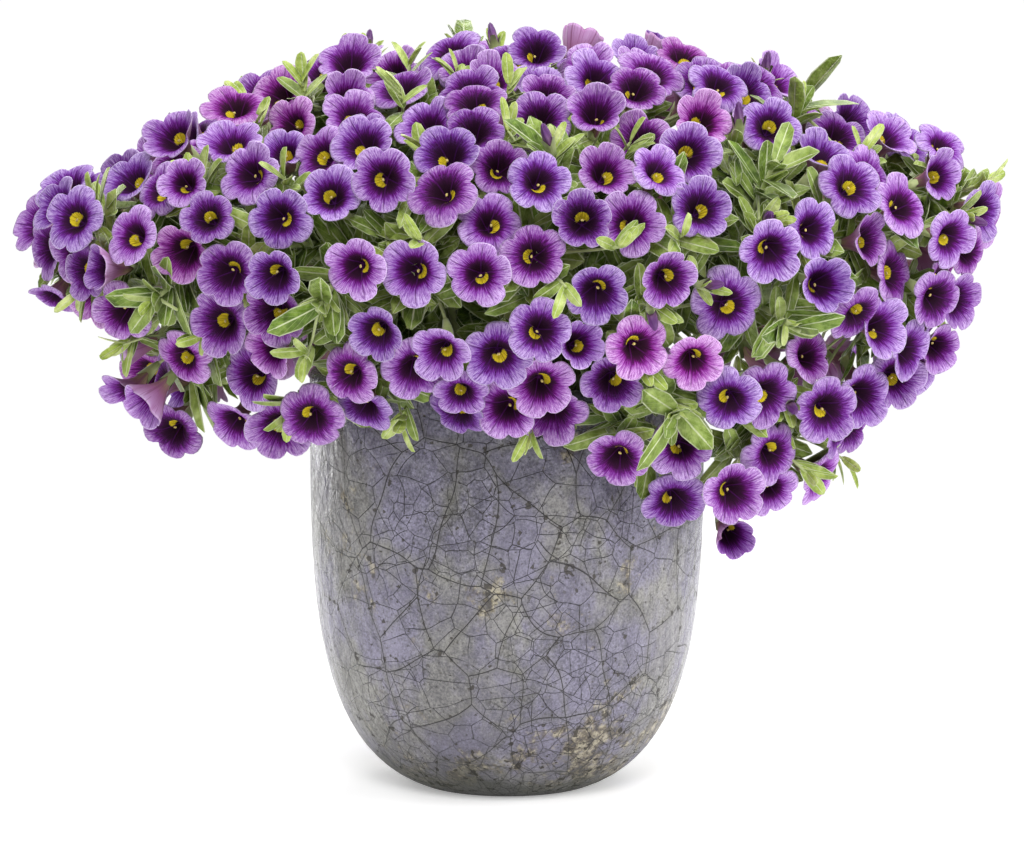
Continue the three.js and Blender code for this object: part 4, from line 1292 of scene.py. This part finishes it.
bm = green_bmesh()
uv = bm.loops.layers.uv["blade"]
bmesh.ops.create_uvsphere(bm, u_segments=8, v_segments=6, radius=1)
for face in bm.faces:
    face.material_index = SKIN
    for loop in face.loops:
        x, y, z = loop.vert.co
        loop[uv].uv = ((1 + z) / 2, math.atan2(y, x) / math.tau)
for vert in bm.verts:
    x, y, z = vert.co
    share = (1 + z) / 2
    turn = BUD_TWIST * share
    full = BUD_RADIUS * (0.55 + 0.9 * share * (1 - 0.75 * share))
    c, s = math.cos(turn), math.sin(turn)
    vert.co = ((x * c - y * s) * full, (x * s + y * c) * full, share * BUD_LENGTH)
bud_shape = mesh_from("bud", bm)


def rod_mover(way, start, end, start_radius, end_radius, rings):
    """Bends a straight rod along a way."""
    def moved(x, y, z):
        t = z / rings
        point, (one, two, _) = way.at(start + (end - start) * t)
        return point + (one * x + two * y) * (start_radius + (end_radius - start_radius) * t)

    return moved


def calyx_mover(way, base):
    """Seats a calyx on a bloom's tube."""
    def moved(x, y, z):
        point, (one, two, _) = way.at(max(0, base + z))
        return point + one * x + two * y

    return moved


def leaf_mover(leaf):
    def moved(x, y, z):
        return (leaf.root + leaf.direction * (x * 1.02 - 0.02) * leaf.length + leaf.side * y * leaf.width
                + leaf.face * z * leaf.length * 0.5)

    return moved


def upright_mover(foot, line, way_up):
    """Stands a shape at a foot, along a line, or mirrored, with its faces inwards, where way_up is -1."""
    one, two = sideways(line, 0), sideways(line, math.pi / 2)

    def moved(x, y, z):
        return foot + one * x + two * y + line * (way_up * z)

    return moved


for stem in stems:
    bm = bmesh.new()
    way = Way(stem.route, ACROSS)
    add_copy(bm, stem_rod, rod_mover(way, 0, way.length, STEM_RADIUS, TIP_RADIUS * 0.7, STEM_RINGS), tint=0.5)
    for bloom in [b for b in blooms if b.stem is stem]:
        way = bloom.way
        base = min(CALYX_AT, way.length * 0.75)
        stalk = rod_mover(way, base - 1, way.length, STALK_TOP_RADIUS, STALK_RADIUS, STALK_RINGS)
        add_copy(bm, stalk_rod, stalk, tint=0.6)
        add_copy(bm, calyx_shape, calyx_mover(way, base), tint=0.6)
    for leaf in [grown for grown in large_leaves if grown.stem is stem]:
        shade = 0.26 * chance(leaf.item, "look") + (0.04 if stem.leafy else 0)
        add_copy(bm, LEAF_SHAPES[leaf.item % len(LEAF_SHAPES)], leaf_mover(leaf), tint=shade)
    for tip in [grown for grown in young_tips if grown["stem"] is stem]:
        normal, top, leaves = tip["normal"], tip["top"], tip["leaves"]
        way = Bend(tip["joint"], unit(top - tip["joint"]), top, normal, sideways(normal, 0))
        twig = rod_mover(way, 0, way.length, TWIG_RADIUS, TWIG_TIP_RADIUS, TWIG_RINGS)
        add_copy(bm, twig_rod, twig, tint=0.7)
        for leaf in leaves:
            add_copy(bm, LEAF_SHAPES[leaf.item % len(LEAF_SHAPES)], leaf_mover(leaf), tint=leaf.age_and_shade)
        line = unit(normal + 0.4 * sideways(normal, leaves[0].item))
        foot = top - line * BUD_SINK
        if chance(leaves[0].item, "spin") < BUD_SHARE and has_room((foot + line * BUD_LENGTH)[None]):
            add_copy(bm, bud_shape, upright_mover(foot, line, 1), tint=0.7)
            add_copy(bm, calyx_shape, upright_mover(foot, line, -1), tint=0.7)
    for leaf in [grown for grown in fill_leaves if grown.stem is stem]:
        add_copy(bm, FILL_SHAPES[leaf.item % len(FILL_SHAPES)], leaf_mover(leaf), tint=leaf.age_and_shade)
    name = f"shoot_{stem.index + 1:02d}" if stem.leafy else f"stem_{stem.index + 1:02d}"
    finish_piece(name, bm, [leaf_blade, green_stem, bud_skin], [stem.node])
